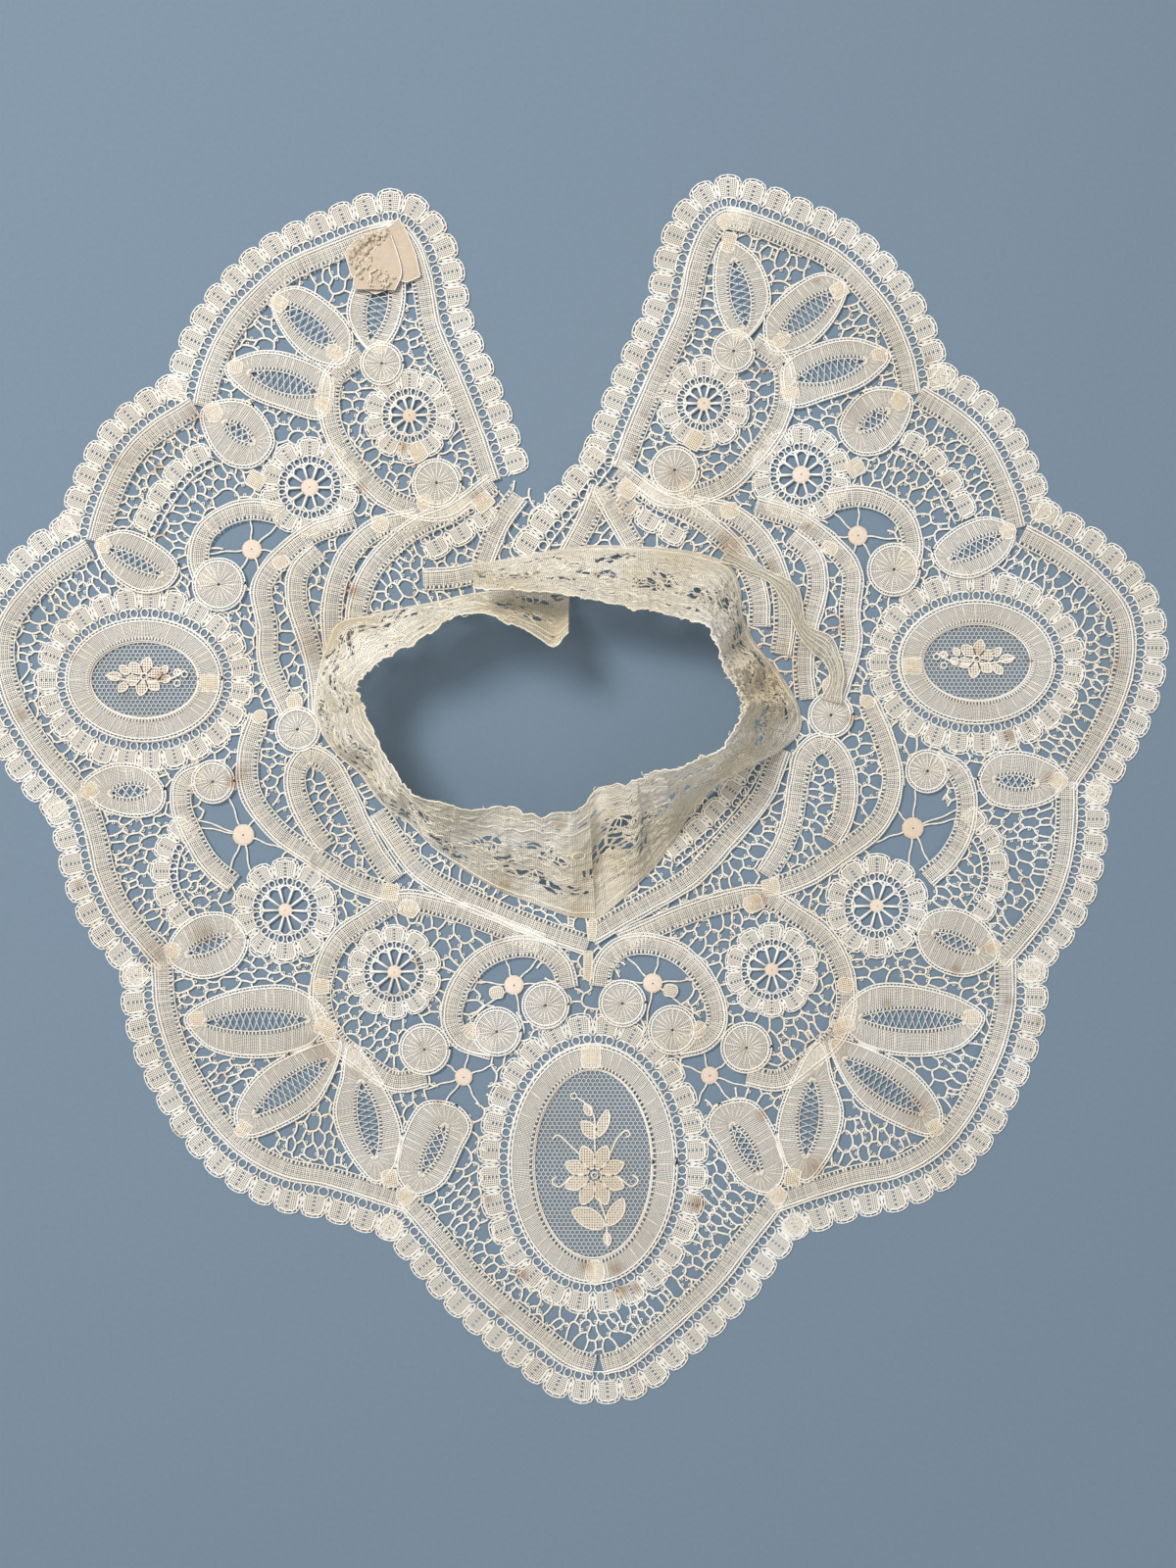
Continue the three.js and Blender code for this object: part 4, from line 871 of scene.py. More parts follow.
def inner_braid(name, side, seed):
    """A short length of braid: its laid parts and its length."""
    line = smooth(placed(INNER_BRAIDS[name], side), TAPE_STEP)
    tips = line + left_of(line) * side * INNER_BRAID_DEPTH * 0.8
    count = max(2, round(length_of(tips) / SCALLOP_PITCH))
    outline = np.vstack((line, (line + left_of(line) * side * (INNER_BRAID_DEPTH - 1))[::-1]))
    covered.append(("outline", outline))
    return scallops(line, side, count, INNER_BRAID_DEPTH, seed, level=TAPE_LEVEL), length_of(line)


for side_name, side in SIDES:
    for name in ("b", "d"):
        full_name = f"inner_braid_{name}_{side_name}"
        braid_piece(full_name, [inner_braid(name, side, 340)], [full_name])
    braid_piece(f"neck_braid_back_{side_name}", [inner_braid("neck_back", side, 341)])
braid_piece("neck_braid_front_right", [inner_braid("neck_front", 1, 342)])

# The back ends. Where the halves meet behind the neck, the edging runs on down to the band on the
# right, and short legs of tape are folded to points on both halves.
BACK_BRAID = [[630, 470], [613, 492], [592, 518], [568, 547], [548, 578]]
BACK_LEGS = {
    "right": [[[613, 498], [600, 530], [586, 556], [574, 580]], [[613, 498], [628, 526], [648, 560]]],
    "left": [[[529, 506], [512, 530], [500, 556], [490, 584]], [[432, 592], [462, 590], [488, 584]]],
}
line = smooth(on_table(BACK_BRAID), TAPE_STEP)
covered.append(("outline", np.vstack((line, (line - left_of(line) * (BRAID_DEPTH - 1))[::-1]))))
laid = scallops(line, -1, round(length_of(line) / SCALLOP_PITCH), BRAID_DEPTH, 345, level=TAPE_LEVEL + 0.2)
braid_piece("back_braid_right", [(laid, length_of(line))])
for side_name, legs in BACK_LEGS.items():
    lines = [smooth(on_table(leg), TAPE_STEP) for leg in legs]
    corded = -1 if side_name == "right" else 1
    made = [laid_tape(line, corded, 346 + n, TAPE_LEVEL + 0.1) for n, line in enumerate(lines)]
    covered.extend(("line", line, TAPE_COVER_HALF) for line in lines)
    tape_piece(f"back_legs_{side_name}", made)
BACK_GAP = [[648, 462], [612, 492], [590, 512], [572, 520], [552, 512], [530, 500], [500, 466]]
covered.append(("outline", on_table(BACK_GAP)))

# The folded ends. Tape ends are turned under and stitched down at each leaf tip, notch and join, so
# small squares there are double, creamier and nearly solid.
FOLDS = [  # x, y on the grid, bearing in degrees, length and width in mm
    (743, 249, 75, 8, 5.5), (752, 343, 90, 5, 6), (855, 298, 35, 6.5, 6.5), (797, 348, 40, 7, 6),
    (897, 363, 10, 6, 5.5), (806, 402, 20, 7, 6), (917, 410, 60, 7.5, 7), (1028, 543, 20, 6, 6.5),
    (1079, 797, -30, 7, 6.5), (1012, 966, -50, 6, 7), (990, 1037, 0, 6, 6), (953, 1150, -60, 6.5, 6),
    (808, 1200, 80, 7, 6.5), (860, 1046, 20, 9, 7), (793, 1218, -40, 7, 7), (930, 680, 0, 7.5, 7),
    (700, 500, 10, 6, 7), (846, 560, 60, 5, 6.5), (768, 922, 20, 8, 7), (740, 228, 50, 6, 6),
    (708, 450, -30, 6.5, 8), (872, 478, 30, 7, 7), (862, 1004, 80, 6, 7), (640, 500, -40, 8, 7),
    (744, 522, 20, 7, 7), (846, 700, 85, 7, 6.5), (786, 905, 10, 7, 7), (684, 1010, 80, 5, 6),
    (712, 1050, 60, 7, 6), (884, 716, 60, 5, 6.5),
]
MIDDLE_FOLDS = [
    (603, 1077, 90, 9.5, 8), (607, 1297, 90, 10, 8), (600, 985, 90, 12, 3.5), (604, 948, 90, 9, 4),
]
# Two layers of the tape's linen stitched flat: creamier, and hardly any of the card shows through.
doubled_linen = fibre("doubled_tape_linen", "#f4e8d4", "#dfceb1", "#b3834f", 0.9, (0.7, 0.7), 0.48)


def fold(centre, bearing, length, width, seed):
    """A small piece of doubled tape, slightly puckered: its cloth and the cords along its sides."""
    rng = np.random.default_rng(seed)
    along = np.array([math.cos(bearing), math.sin(bearing)])
    across = np.array([-along[1], along[0]])
    s, t = np.meshgrid(np.linspace(-1, 1, 9), np.linspace(-1, 1, 7), indexing="ij")
    bow = 1 - 0.16 * t**2 * (1 + np.sin(4 * s + rng.uniform(0, 6)))
    spread = 1 - 0.18 * s**2 * (1 + np.sin(3 * t + rng.uniform(0, 6)))
    flat = centre + along * (s * bow * length / 2)[..., None] + across * (t * spread * width / 2)[..., None]
    pucker = 0.16 * np.sin(t * 7 + s * 2 + rng.uniform(0, 6)) + 0.1 * np.sin(s * 9 + rng.uniform(0, 6))
    height = TAPE_LEVEL + 0.85 + pucker - 0.35 * np.maximum(np.abs(s), np.abs(t)) ** 4
    grid = np.concatenate((flat, height[..., None]), axis=2)
    rim = np.vstack((grid[:, 0], grid[-1, 1:], grid[-2::-1, -1], grid[0, -2::-1]))
    return cloth(grid, np.stack((s * length / 2, t * width / 2), axis=2)), cords(rim, 0.2)


for side_name, side in (*SIDES, ("middle", 0)):
    made = []
    for n, (x, y, bearing, length, width) in enumerate(FOLDS if side else MIDDLE_FOLDS):
        turn = math.radians(bearing if side >= 0 else 180 - bearing)
        centre = placed([[x, y]], side or 1)[0]
        made.append((fold(centre, turn, length * 0.88, width * 0.85, 700 + n), length / 1000))
    sheets = [part[0] for part, length in made]
    ends = piece(f"folded_ends_{side_name}", sheets, [doubled_linen])
    rims = [part[1] for part, length in made]
    rims = piece(f"folded_ends_{side_name}_cords", rims, [gimp_cotton])

# The rosettes. Ten scallops of braid are drawn up round a ring of cord, and ten bars hold a woven
# knob in the middle of it.
ROSETTES = {  # x, y, outer radius, radius of the ring, radius of the knob
    "a": (718, 413, 46, 20, 7),
    "b": (817, 485, 50, 24, 9),
    "d": (894, 924, 52, 25, 7),
    "e": (787, 989, 47, 24, 7),
}
ROSETTE_PETALS = 10
ROSETTE_SPOKES = 10
SPOKE_RADII = np.array([0.4, 0.62])


def knob(centre, radius, level):
    """A knob darned round and round, as a low ridged dome."""
    around = 24
    turn = 2 * np.pi * np.arange(around) / around
    rings = []
    for k, share in enumerate(np.linspace(1, 0.06, 8)):
        height = level + 0.55 * math.sqrt(1 - share**2) + 0.16 * ((np.arange(around) // 2 + k) % 2)
        reach = radius * (share + 0.03 * (np.arange(around) % 2))
        flat = centre + reach[:, None] * directions(turn)
        rings.append(np.column_stack((flat, height)))
    skirt = rings[0] * [1, 1, 0] + [0, 0, level - 0.4]
    grid = np.stack([skirt, *rings], axis=1)
    return cloth(grid, grid[..., :2], closed=True)


for side_name, side in SIDES:
    for n, (name, (x, y, outer, ring, hub)) in enumerate(ROSETTES.items()):
        rng = np.random.default_rng(360 + n)
        centre = placed([[x, y]], side)[0]
        outer, ring, hub = (radius * MM_PER_STEP for radius in (outer, ring, hub))
        line = circle(centre, ring, 60)[::-1]
        laid = scallops(line, 1, ROSETTE_PETALS, outer - ring + 0.3, 360 + n, closed=True, level=TAPE_LEVEL)
        threads = list(laid[1])
        around = np.linspace(0, 2 * np.pi, ROSETTE_SPOKES * 6 + 1)
        arch = ring * (0.84 + 0.17 * np.abs(np.sin(around * ROSETTE_SPOKES / 2)))
        arches = centre + arch[:, None] * directions(around)
        threads.append(cords(raised(arches, TAPE_LEVEL + 0.15), GIMP_RADIUS))
        spokes = np.arange(ROSETTE_SPOKES) + rng.uniform(-0.08, 0.08, ROSETTE_SPOKES)
        for turn in 2 * np.pi * spokes / ROSETTE_SPOKES:
            direction = np.array([math.cos(turn), math.sin(turn)])
            ends = np.array([centre + direction * hub * 0.8, centre + direction * ring])
            threads.append(cords(raised(ends, TAPE_LEVEL + 0.1), SPOKE_RADII))
        threads.append((knob(centre, hub, TAPE_LEVEL), 1))
        name = f"rosette_{name}_{side_name}"
        braid_piece(name, [((laid[0], threads), 2 * math.pi * ring)], [name])
        covered.append(("outline", circle(centre, outer - 1, 32)))

# The medallions. Each is an oval of machine net with a flower woven on it, held in a ring of gathered
# tape with a scalloped braid round that.
MEDALLIONS = {  # centre, half sizes of the net and of the tape ring on the grid, scallops
    "side": ((996, 676), (56, 40), (80, 63), 23),
    "front": ((605, 1187), (61, 97), (86, 122), 28),
}
NET_PITCH = 1.6
NET_LEVEL = 0.6
NET_RADIUS = 0.145  # mm, thicker than the real thread so that it shows
FLOWER_LEVEL = NET_LEVEL + 0.35
RING_FOLDS = 46
RING_FOLD_HEIGHT = 0.3
MEDALLION_BRAID_DEPTH = 11.0
# Fine twisted cotton: pale, matt threads that leave most of the card to be seen.
net_cotton = fibre("fine_net_cotton", "#fffaf0", "#f6ecda", "#b98a58", 0.85)
# The flowers' clothwork: the same cotton woven to and fro, duller than its cords and a little open.
flower_cotton = fibre("woven_flower_cotton", "#efe4d3", "#ddcdb6", "#b98a58", 0.88, (0.9, 0.9), 0.5)


def oval(centre, halves, count):
    """A closed oval of points."""
    return centre + directions(np.linspace(0, 2 * np.pi, count + 1)) * halves


def net(centre, halves):
    """Six-sided net inside an oval, one thread for each side of a mesh, three from every other corner."""
    side = NET_PITCH / math.sqrt(3)
    starts, ends = [], []
    columns = int(halves[0] / NET_PITCH) + 2
    rows = int(halves[1] / (side * 1.5)) + 2
    for j in range(-rows, rows + 1):
        for i in range(-columns, columns + 1):
            x = (i + (j % 2) / 2) * NET_PITCH
            y = j * side * 1.5
            for bearing in (90, 210, 330):
                turn = math.radians(bearing)
                starts.append((x, y))
                ends.append((x + side * math.cos(turn), y + side * math.sin(turn)))
    starts, ends = np.array(starts), np.array(ends)
    middle = (starts + ends) / 2
    kept = ((middle / halves) ** 2).sum(axis=1) < 1
    lines = np.stack((starts[kept], ends[kept]), axis=1) + centre
    heights = np.full((*lines.shape[:2], 1), NET_LEVEL)
    return cords(np.concatenate((lines, heights), axis=2), NET_RADIUS)


def motif(outline, level):
    """A petal or leaf of close cloth with a cord round it, from a mid line and half widths along it."""
    line, half = outline
    side = left_of(line)
    shares = np.array([-1, -0.4, 0.4, 1])
    rows = [raised(line + side * (half * share)[:, None], level + 0.15 * (1 - share**2)) for share in shares]
    grid = np.stack(rows, axis=1)
    sheet = cloth(grid, grid[..., :2])
    rim = np.vstack((line + side * half[:, None], (line - side * half[:, None])[::-1]))
    rim = np.vstack((rim, rim[:1]))
    return sheet, cords(raised(rim, level + 0.1), 0.3)


def petal(start, turn, length, width, curl=0.0):
    """The mid line and half widths of a petal or leaf."""
    share = np.linspace(0, 1, 8)
    bearing = turn + curl * (share - 0.5)
    steps = directions(bearing) * length / 7
    line = np.asarray(start, float) + np.vstack(([0, 0], np.cumsum(steps[:-1], axis=0)))
    half = width / 2 * np.sin(np.pi * np.clip(share * 0.92 + 0.06, 0, 1)) ** 0.7
    return line, half


def side_flower(centre, side):
    """Six petals, a leaf at either side and a run of buds along the net's long axis."""

    def at(x, y):
        return centre + np.array([side * x, y])

    facing = 0 if side > 0 else math.pi
    shapes = []
    for k in range(6):
        turn = 2 * math.pi * (k + 0.3) / 6
        shapes.append(petal(at(0, 1.2) + 1.3 * np.array([math.cos(turn), math.sin(turn)]), turn, 5.6, 3.9))
    for x, y, turn, length, width in (
        (5.5, 2.2, 0.7, 4.2, 2.8), (8.2, 1.0, 0.1, 5.0, 3.0), (6.0, -1.0, -0.8, 4.4, 2.8),
        (-6.2, -0.4, 2.7, 3.4, 2.6), (-6.5, 2.4, 2.1, 3.0, 2.4), (-10.5, 2.2, 2.8, 2.8, 2.4),
    ):
        shapes.append(petal(at(x, y), facing + side * turn, length, width))
    stem = smooth([at(-14.5, 3.5), at(-10, 0.6), at(-4, -0.8), at(4, -0.4), at(9, 0.4), at(14, 1.6)], 1.2)
    rings = [at(-14.4, 2.0), at(-11.8, -1.2), at(0, 1.2)]
    return shapes, [stem], rings


def front_flower(centre):
    """Eight petals with a bud above, a leafed stem below, and a tendril at either side."""

    def at(x, y):
        return centre + np.array([x, y])

    heart = at(0.6, -4.0)
    shapes = []
    for k in range(8):
        turn = 2 * math.pi * (k + 0.5) / 8
        shapes.append(petal(heart + 2.4 * np.array([math.cos(turn), math.sin(turn)]), turn, 8.8, 5.2))
    for x, y, turn, length, width in (
        (0.7, 9.1, 2.25, 7.6, 4.6), (1.4, 9.8, 1.2, 10.2, 3.8), (-1.0, 17.2, 2.0, 4.6, 2.8),
        (3.7, -22.6, 2.67, 12.6, 6.8), (5.2, -21.6, 1.05, 10.8, 5.2), (5.0, -24.5, -1.4, 4.6, 2.6),
    ):
        shapes.append(petal(at(x, y), turn, length, width, 0.3))
    stems = [
        smooth([at(0.8, 4), at(0.6, 9), at(0.4, 17), at(-2.5, 21.5), at(-5.6, 23.6)], 1.2),
        smooth([at(2, -12), at(4.4, -19), at(5.0, -24), at(5.4, -30)], 1.2),
        smooth([at(6, 3.5), at(9, 9.5), at(12, 12), at(13.4, 10.4), at(11.6, 9.4)], 1.0),
        smooth([at(9, -4.5), at(14, -8), at(16.2, -5.8), at(14.2, -3.8)], 1.0),
        smooth([at(-4.5, 3.2), at(-8.5, 7), at(-12.6, 10.4), at(-14.4, 8.8)], 1.0),
        smooth([at(-8, -4.5), at(-12, -8.2), at(-14.6, -6.4), at(-13, -4.4)], 1.0),
    ]
    return shapes, stems, [heart, at(-6.8, 24.2)]


for name, side_name, side in (("side", "right", 1), ("side", "left", -1), ("front", "front", 1)):
    centre, net_halves, ring_halves, count = MEDALLIONS[name]
    centre = placed([centre], side)[0]
    net_halves, ring_halves = (np.array(pair) * MM_PER_STEP for pair in (net_halves, ring_halves))
    outer, inner = (oval(centre, halves, 110) for halves in (ring_halves, net_halves))
    made = gathered_ring(outer, inner, RING_FOLDS, RING_FOLD_HEIGHT, 380)
    tape_piece(f"medallion_ring_{side_name}", [made], [f"medallion_ring_{side_name}"])
    sewn = oval(centre, ring_halves, 150)[::-1]
    laid = scallops(sewn, 1, count, MEDALLION_BRAID_DEPTH, 381, closed=True)
    braid_piece(f"medallion_braid_{side_name}", [(laid, length_of(sewn))], [f"medallion_braid_{side_name}"])
    covered.append(("outline", oval(centre, ring_halves + MEDALLION_BRAID_DEPTH - 0.5, 60)))
    shapes, stems, rings = front_flower(centre) if name == "front" else side_flower(centre, side)
    woven = [motif(shape, FLOWER_LEVEL) for shape in shapes]
    threads = [net(centre, net_halves + 1.2)]
    threads += [rim for sheet, rim in woven]
    threads += [cords(raised(stem, FLOWER_LEVEL), 0.36) for stem in stems]
    threads += [cords(raised(circle(spot, 1.1, 10), NET_LEVEL + 0.6), 0.3) for spot in rings]
    threads.append(cords(raised(oval(centre, net_halves - 0.4, 90), NET_LEVEL + 0.3), 0.42))
    piece(f"medallion_net_{side_name}_threads", threads, [net_cotton], [f"medallion_net_{side_name}"])
    piece(f"medallion_flower_{side_name}", [sheet for sheet, rim in woven], [flower_cotton])

# The ground. Bars of twisted thread with tiny loops on them join the tapes in uneven cells, and four
# wheels on each half have bars that meet in a woven knob.
WHEELS = {  # x, y, knob radius, opening radius on the grid, and where the bars end
    "b": ((875, 547, 10, 38), [(846, 520), (876, 518), (918, 551), (896, 580), (866, 580), (842, 550)]),
    "d": (
        (931, 845, 11, 47),
        [(934, 800), (978, 826), (974, 836), (949, 884), (926, 890), (896, 858), (908, 820)],
    ),
    "f1": ((666, 1003, 10, 36), [(640, 976), (672, 978), (708, 999), (712, 1036), (659, 1048), (626, 1000)]),
    "f2": (
        (724, 1097, 9, 32), [(716, 1068), (740, 1084), (760, 1108), (748, 1126), (712, 1124), (696, 1086)],
    ),
}
BAND_RIGHT = np.array([  # foot x, y, top edge x, y on the grid, and how far the cloth bulges in mm
    [607, 940, 599, 820, 0], [625, 926, 612, 805, 2], [650, 903, 640, 801, -1.5], [672, 880, 657, 793, 2],
    [690, 855, 677, 788, 0], [707, 828, 701, 781, 2.5], [732, 802, 718, 773, 0], [762, 784, 738, 764, 2],
    [795, 767, 746, 750, -1], [816, 746, 755, 734, 3], [815, 722, 760, 717, 0], [802, 697, 755, 704, 3.5],
    [784, 673, 744, 688, -1], [768, 652, 735, 668, 3], [758, 628, 729, 650, 0], [755, 600, 722, 638, 2.5],
    [742, 576, 701, 632, 0], [705, 563, 680, 625, 1.5], [655, 558, 652, 620, 0], [605, 557, 612, 613, 1],
    [560, 562, 575, 606, 0], [520, 570, 530, 602, 0.5], [482, 575, 484, 600, 0],
])
BAND_LEFT = np.array([
    [608, 938, 601, 822, 0.5], [578, 934, 578, 830, 2], [550, 924, 553, 833, -1.5], [515, 911, 517, 824, 2],
    [474, 888, 479, 826, 0], [444, 866, 450, 820, 2.5], [418, 841, 418, 808, 0], [390, 820, 404, 788, 2],
    [367, 790, 391, 766, 0], [340, 765, 380, 742, 3], [320, 728, 370, 716, 0], [326, 688, 365, 698, 3],
    [333, 657, 379, 683, 0], [345, 636, 397, 670, 2.5], [374, 628, 417, 659, 0], [404, 622, 440, 645, 2],
    [440, 615, 464, 630, 0], [477, 607, 492, 626, 1], [510, 602, 516, 634, 0], [545, 600, 545, 647, 0],
    [570, 600, 567, 660, 0], [581, 600, 580, 646, 0],
])
CELL = 4.6
GROUND_LEVEL = 0.65
RASTER = 0.5  # mm, the step of the map that says where the ground is open
RASTER_MARGIN = 5
BLOCK = 16  # steps of that map
CONTOUR_ROWS = (6.8, 5, 5.7, 3.1)  # how far out the holes start in mm, how many rows, steps out and along
TAPE_ROWS = (6.5, 2, 5.5, 3.2)
OUTLINE_ROWS = (2.9, 2, 5.5, 3.2)
LONG_HOLE = (5.0, 2.5)  # half length and half width of the room that a hole needs, in mm
FREE_HOLE = (4.5, 3.1)
HOLE_GRID = 6
LONGEST_BAR = 9
BAR_SAMPLES = 7
BAR_BOW = 0.45
WHEEL_BAR_POINTS = 9
BAR_RADII = np.array([0.52, 0.37, 0.43, 0.37, 0.52])  # along a bar, which is thickest where bars meet
PICOT_SHARE = 0.5
PICOT_RADIUS = 0.5
PICOT_THREAD = 0.2


def inside(outline, points):
    """Which points lie inside a closed outline."""
    x, y = points.T
    held = np.zeros(len(points), bool)
    ends = np.roll(outline, -1, axis=0)
    for (ax, ay), (bx, by) in zip(outline, ends):
        if ay == by:
            continue
        crosses = (ay > y) != (by > y)
        held ^= crosses & (x < ax + (bx - ax) * (y - ay) / (by - ay))
    return held


low_corner = np.array(cad_box[0][:2]) * 1000 - RASTER_MARGIN
high_corner = np.array(cad_box[1][:2]) * 1000 + RASTER_MARGIN
cells_x, cells_y = ((high_corner - low_corner) / RASTER).astype(int)
grid_x, grid_y = np.meshgrid(np.arange(cells_x), np.arange(cells_y))
raster_points = low_corner + (np.column_stack((grid_x.ravel(), grid_y.ravel())) + 0.5) * RASTER
right_edge = [contour_lines[lobe, 1] for lobe in CONTOUR]
left_edge = [contour_lines[lobe, -1][::-1] for lobe in reversed(CONTOUR)]
collar_edge = np.vstack((*right_edge, *left_edge))
neck_edge = np.vstack((on_table(BAND_RIGHT[:20, :2]), on_table(BAND_LEFT[:, :2])[::-1]))
open_ground = inside(collar_edge, raster_points) & ~inside(neck_edge, raster_points)
for kind, line, *half in covered:
    if kind == "outline":
        box = (raster_points > line.min(axis=0)).all(axis=1) & (raster_points < line.max(axis=0)).all(axis=1)
        spots = np.flatnonzero(box & open_ground)
        open_ground[spots[inside(line, raster_points[spots])]] = False
    else:
        reach = int(half[0] / RASTER) + 1
        steps = np.arange(-reach, reach + 1)
        near = np.stack(np.meshgrid(steps, steps), axis=2).reshape(-1, 2)
        near = near[np.linalg.norm(near, axis=1) * RASTER <= half[0]]
        spots = ((line - low_corner) / RASTER).astype(int)
        stamped = (spots[:, None] + near[None]).reshape(-1, 2)
        stamped = np.clip(stamped, 0, [cells_x - 1, cells_y - 1])
        open_ground[stamped[:, 1] * cells_x + stamped[:, 0]] = False
for side_name, side in SIDES:
    for (x, y, hub, reach), ends in WHEELS.values():
        centre = placed([[x, y]], side)[0]
        away = np.linalg.norm(raster_points - centre, axis=1)
        open_ground[away < reach * MM_PER_STEP] = False
open_ground = open_ground.reshape(cells_y, cells_x)


def shows(points):
    """Which points lie on open ground."""
    spots = np.clip(((points - low_corner) / RASTER).astype(int), 0, [cells_x - 1, cells_y - 1])
    return open_ground[spots[:, 1], spots[:, 0]]


def holes_beside(line, out, first, rows, step_out, step_along):
    """Holes in staggered rows beside a tape, on its left if out is 1: middle x, y and facing x, y of each."""
    found = []
    left = left_of(line) * out
    walk = walked(line)
    for row in range(rows):
        stations = np.arange((row % 2) * step_along / 2, walk[-1], step_along)
        stations = stations + rng.uniform(-0.4, 0.4, len(stations))
        spots = points_at(stations, walk, line)
        facing = points_at(stations, walk, left)
        reach = first + row * step_out + rng.uniform(-0.9, 0.9, len(stations))
        found.append(np.column_stack((spots + facing * reach[:, None], facing)))
    return np.vstack(found)


def spaced(holes, long, wide, taken):
    """The holes taken, and those that lie outside an oval round each one, long half the way it faces."""
    kept = {}
    for hole in taken:
        kept.setdefault((int(hole[0] // HOLE_GRID), int(hole[1] // HOLE_GRID)), []).append(hole)
    chosen = list(taken)
    for hole in holes.tolist():
        x, y = hole[:2]
        i, j = int(x // HOLE_GRID), int(y // HOLE_GRID)
        near = (spot for a in (i - 1, i, i + 1) for b in (j - 1, j, j + 1) for spot in kept.get((a, b), ()))
        if all(
            (((x - a) * p + (y - b) * q) / long) ** 2 + (((y - b) * p - (x - a) * q) / wide) ** 2 >= 1
            for a, b, p, q in near
        ):
            chosen.append(hole)
            kept.setdefault((i, j), []).append(hole)
    return chosen


def cell_sides():
    """The bars round the holes of the ground, as pairs of points. Holes lie in rows along each tape."""
    beside = []
    for _, side in SIDES:
        for lobe in CONTOUR:
            beside.append(holes_beside(contour_lines[lobe, side], -side, *CONTOUR_ROWS))
    for kind, line, *_ in covered:
        if kind == "line":
            for out in (1, -1):
                beside.append(holes_beside(line, out, *TAPE_ROWS))
        else:
            ring = evenly(np.vstack((line, line[:1])), 1.3)
            for out in (1, -1):
                beside.append(holes_beside(ring, out, *OUTLINE_ROWS))
    beside = np.vstack(beside)
    holes = spaced(beside[shows(beside[:, :2])], *LONG_HOLE, [])
    spread_x, spread_y = np.meshgrid(np.arange(-225, 225, CELL), np.arange(-230, 230, CELL * 0.87))
    spread_x[1::2] += CELL / 2
    spread = np.column_stack((spread_x.ravel(), spread_y.ravel()))
    spread = spread + rng.uniform(-1.2, 1.2, spread.shape)
    rows, columns = cells_y // BLOCK, cells_x // BLOCK
    blocks = open_ground[:rows * BLOCK, :columns * BLOCK].reshape(rows, BLOCK, columns, BLOCK)
    blocks = np.pad(blocks.any(axis=(1, 3)), 1)
    blocks = sum(np.roll(blocks, (i, j), (0, 1)) for i in (-1, 0, 1) for j in (-1, 0, 1)) > 0
    spots = ((spread - low_corner) / RASTER / BLOCK).astype(int) + 1
    spots = np.clip(spots, 0, np.array(blocks.shape)[::-1] - 1)
    spread = spread[blocks[spots[:, 1], spots[:, 0]]]
    spread = np.column_stack((spread, np.zeros(len(spread)), np.ones(len(spread))))
    holes = np.array(spaced(spread, *FREE_HOLE, holes))[:, :2]
    _, _, triangles, *_ = geometry.delaunay_2d_cdt([Vector(spot) for spot in holes], [], [], 0, 1e-6)
    triangles = np.array(triangles)
    a, b, c = (holes[triangles[:, i]] for i in range(3))
    centre = (a + b + c) / 3
    pairs = {}
    for number, corners in enumerate(triangles):
        for k in range(3):
            key = tuple(sorted((int(corners[k]), int(corners[(k + 1) % 3]))))
            pairs.setdefault(key, []).append(number)
    joined = np.array([pair for pair in pairs.values() if len(pair) == 2])
    joined = joined[np.linalg.norm(centre[joined[:, 0]] - centre[joined[:, 1]], axis=1) < LONGEST_BAR]
    return centre[joined[:, 0]], centre[joined[:, 1]]


rng = np.random.default_rng(8)
starts, ends = cell_sides()
shares = np.linspace(0, 1, BAR_SAMPLES)[None, :, None]
samples = starts[:, None] * (1 - shares) + ends[:, None] * shares
kept = shows(samples.reshape(-1, 2)).reshape(len(starts), BAR_SAMPLES).any(axis=1)
starts, ends = starts[kept], ends[kept]
along = ends - starts
across = np.column_stack((-along[:, 1], along[:, 0])) / (np.linalg.norm(along, axis=1, keepdims=True) + 1e-9)
bow = rng.uniform(-BAR_BOW, BAR_BOW, len(starts))
shares = np.array([0, 0.25, 0.5, 0.75, 1])
curve = np.sin(np.pi * shares)
lines = (
    starts[:, None] + along[:, None] * shares[None, :, None]
    + across[:, None] * (bow[:, None] * curve[None])[..., None]
)
heights = GROUND_LEVEL + 0.25 * rng.uniform(-1, 1, (len(lines), 1, 1)) * curve[None, :, None]
bars = np.concatenate((lines, heights), axis=2)
loops = rng.random(len(bars)) < PICOT_SHARE
spot = bars[loops][:, 2]
turn = np.linspace(0, 2 * np.pi, 6)[None, :]
lean = rng.uniform(0, 2 * np.pi, (loops.sum(), 1))
sway = across[loops] * np.where(rng.random((loops.sum(), 1)) < 0.5, 0.65, -0.65)
picots = np.stack((
    spot[:, None, 0] + sway[:, None, 0] + PICOT_RADIUS * np.cos(turn + lean),
    spot[:, None, 1] + sway[:, None, 1] + PICOT_RADIUS * np.sin(turn + lean),
    np.broadcast_to(spot[:, None, 2] + 0.1, (loops.sum(), 6)),
), axis=2)

PANEL_MIDDLES = {"back": (800, 380), "side": (1000, 700), "front": (900, 1080), "yoke": (790, 700)}
panels = {}
for side_name, side in SIDES:
    for name, (x, y) in PANEL_MIDDLES.items():
        panels[f"ground_{name}_{side_name}"] = placed([[x, y]], side)[0]
panels["ground_centre"] = on_table([[605, 1170]])[0]
middle_of = (starts + ends) / 2
names = list(panels)
nearest = np.argmin(np.stack([np.linalg.norm(middle_of - panels[name], axis=1) for name in names]), axis=0)
loop_nearest = nearest[loops]
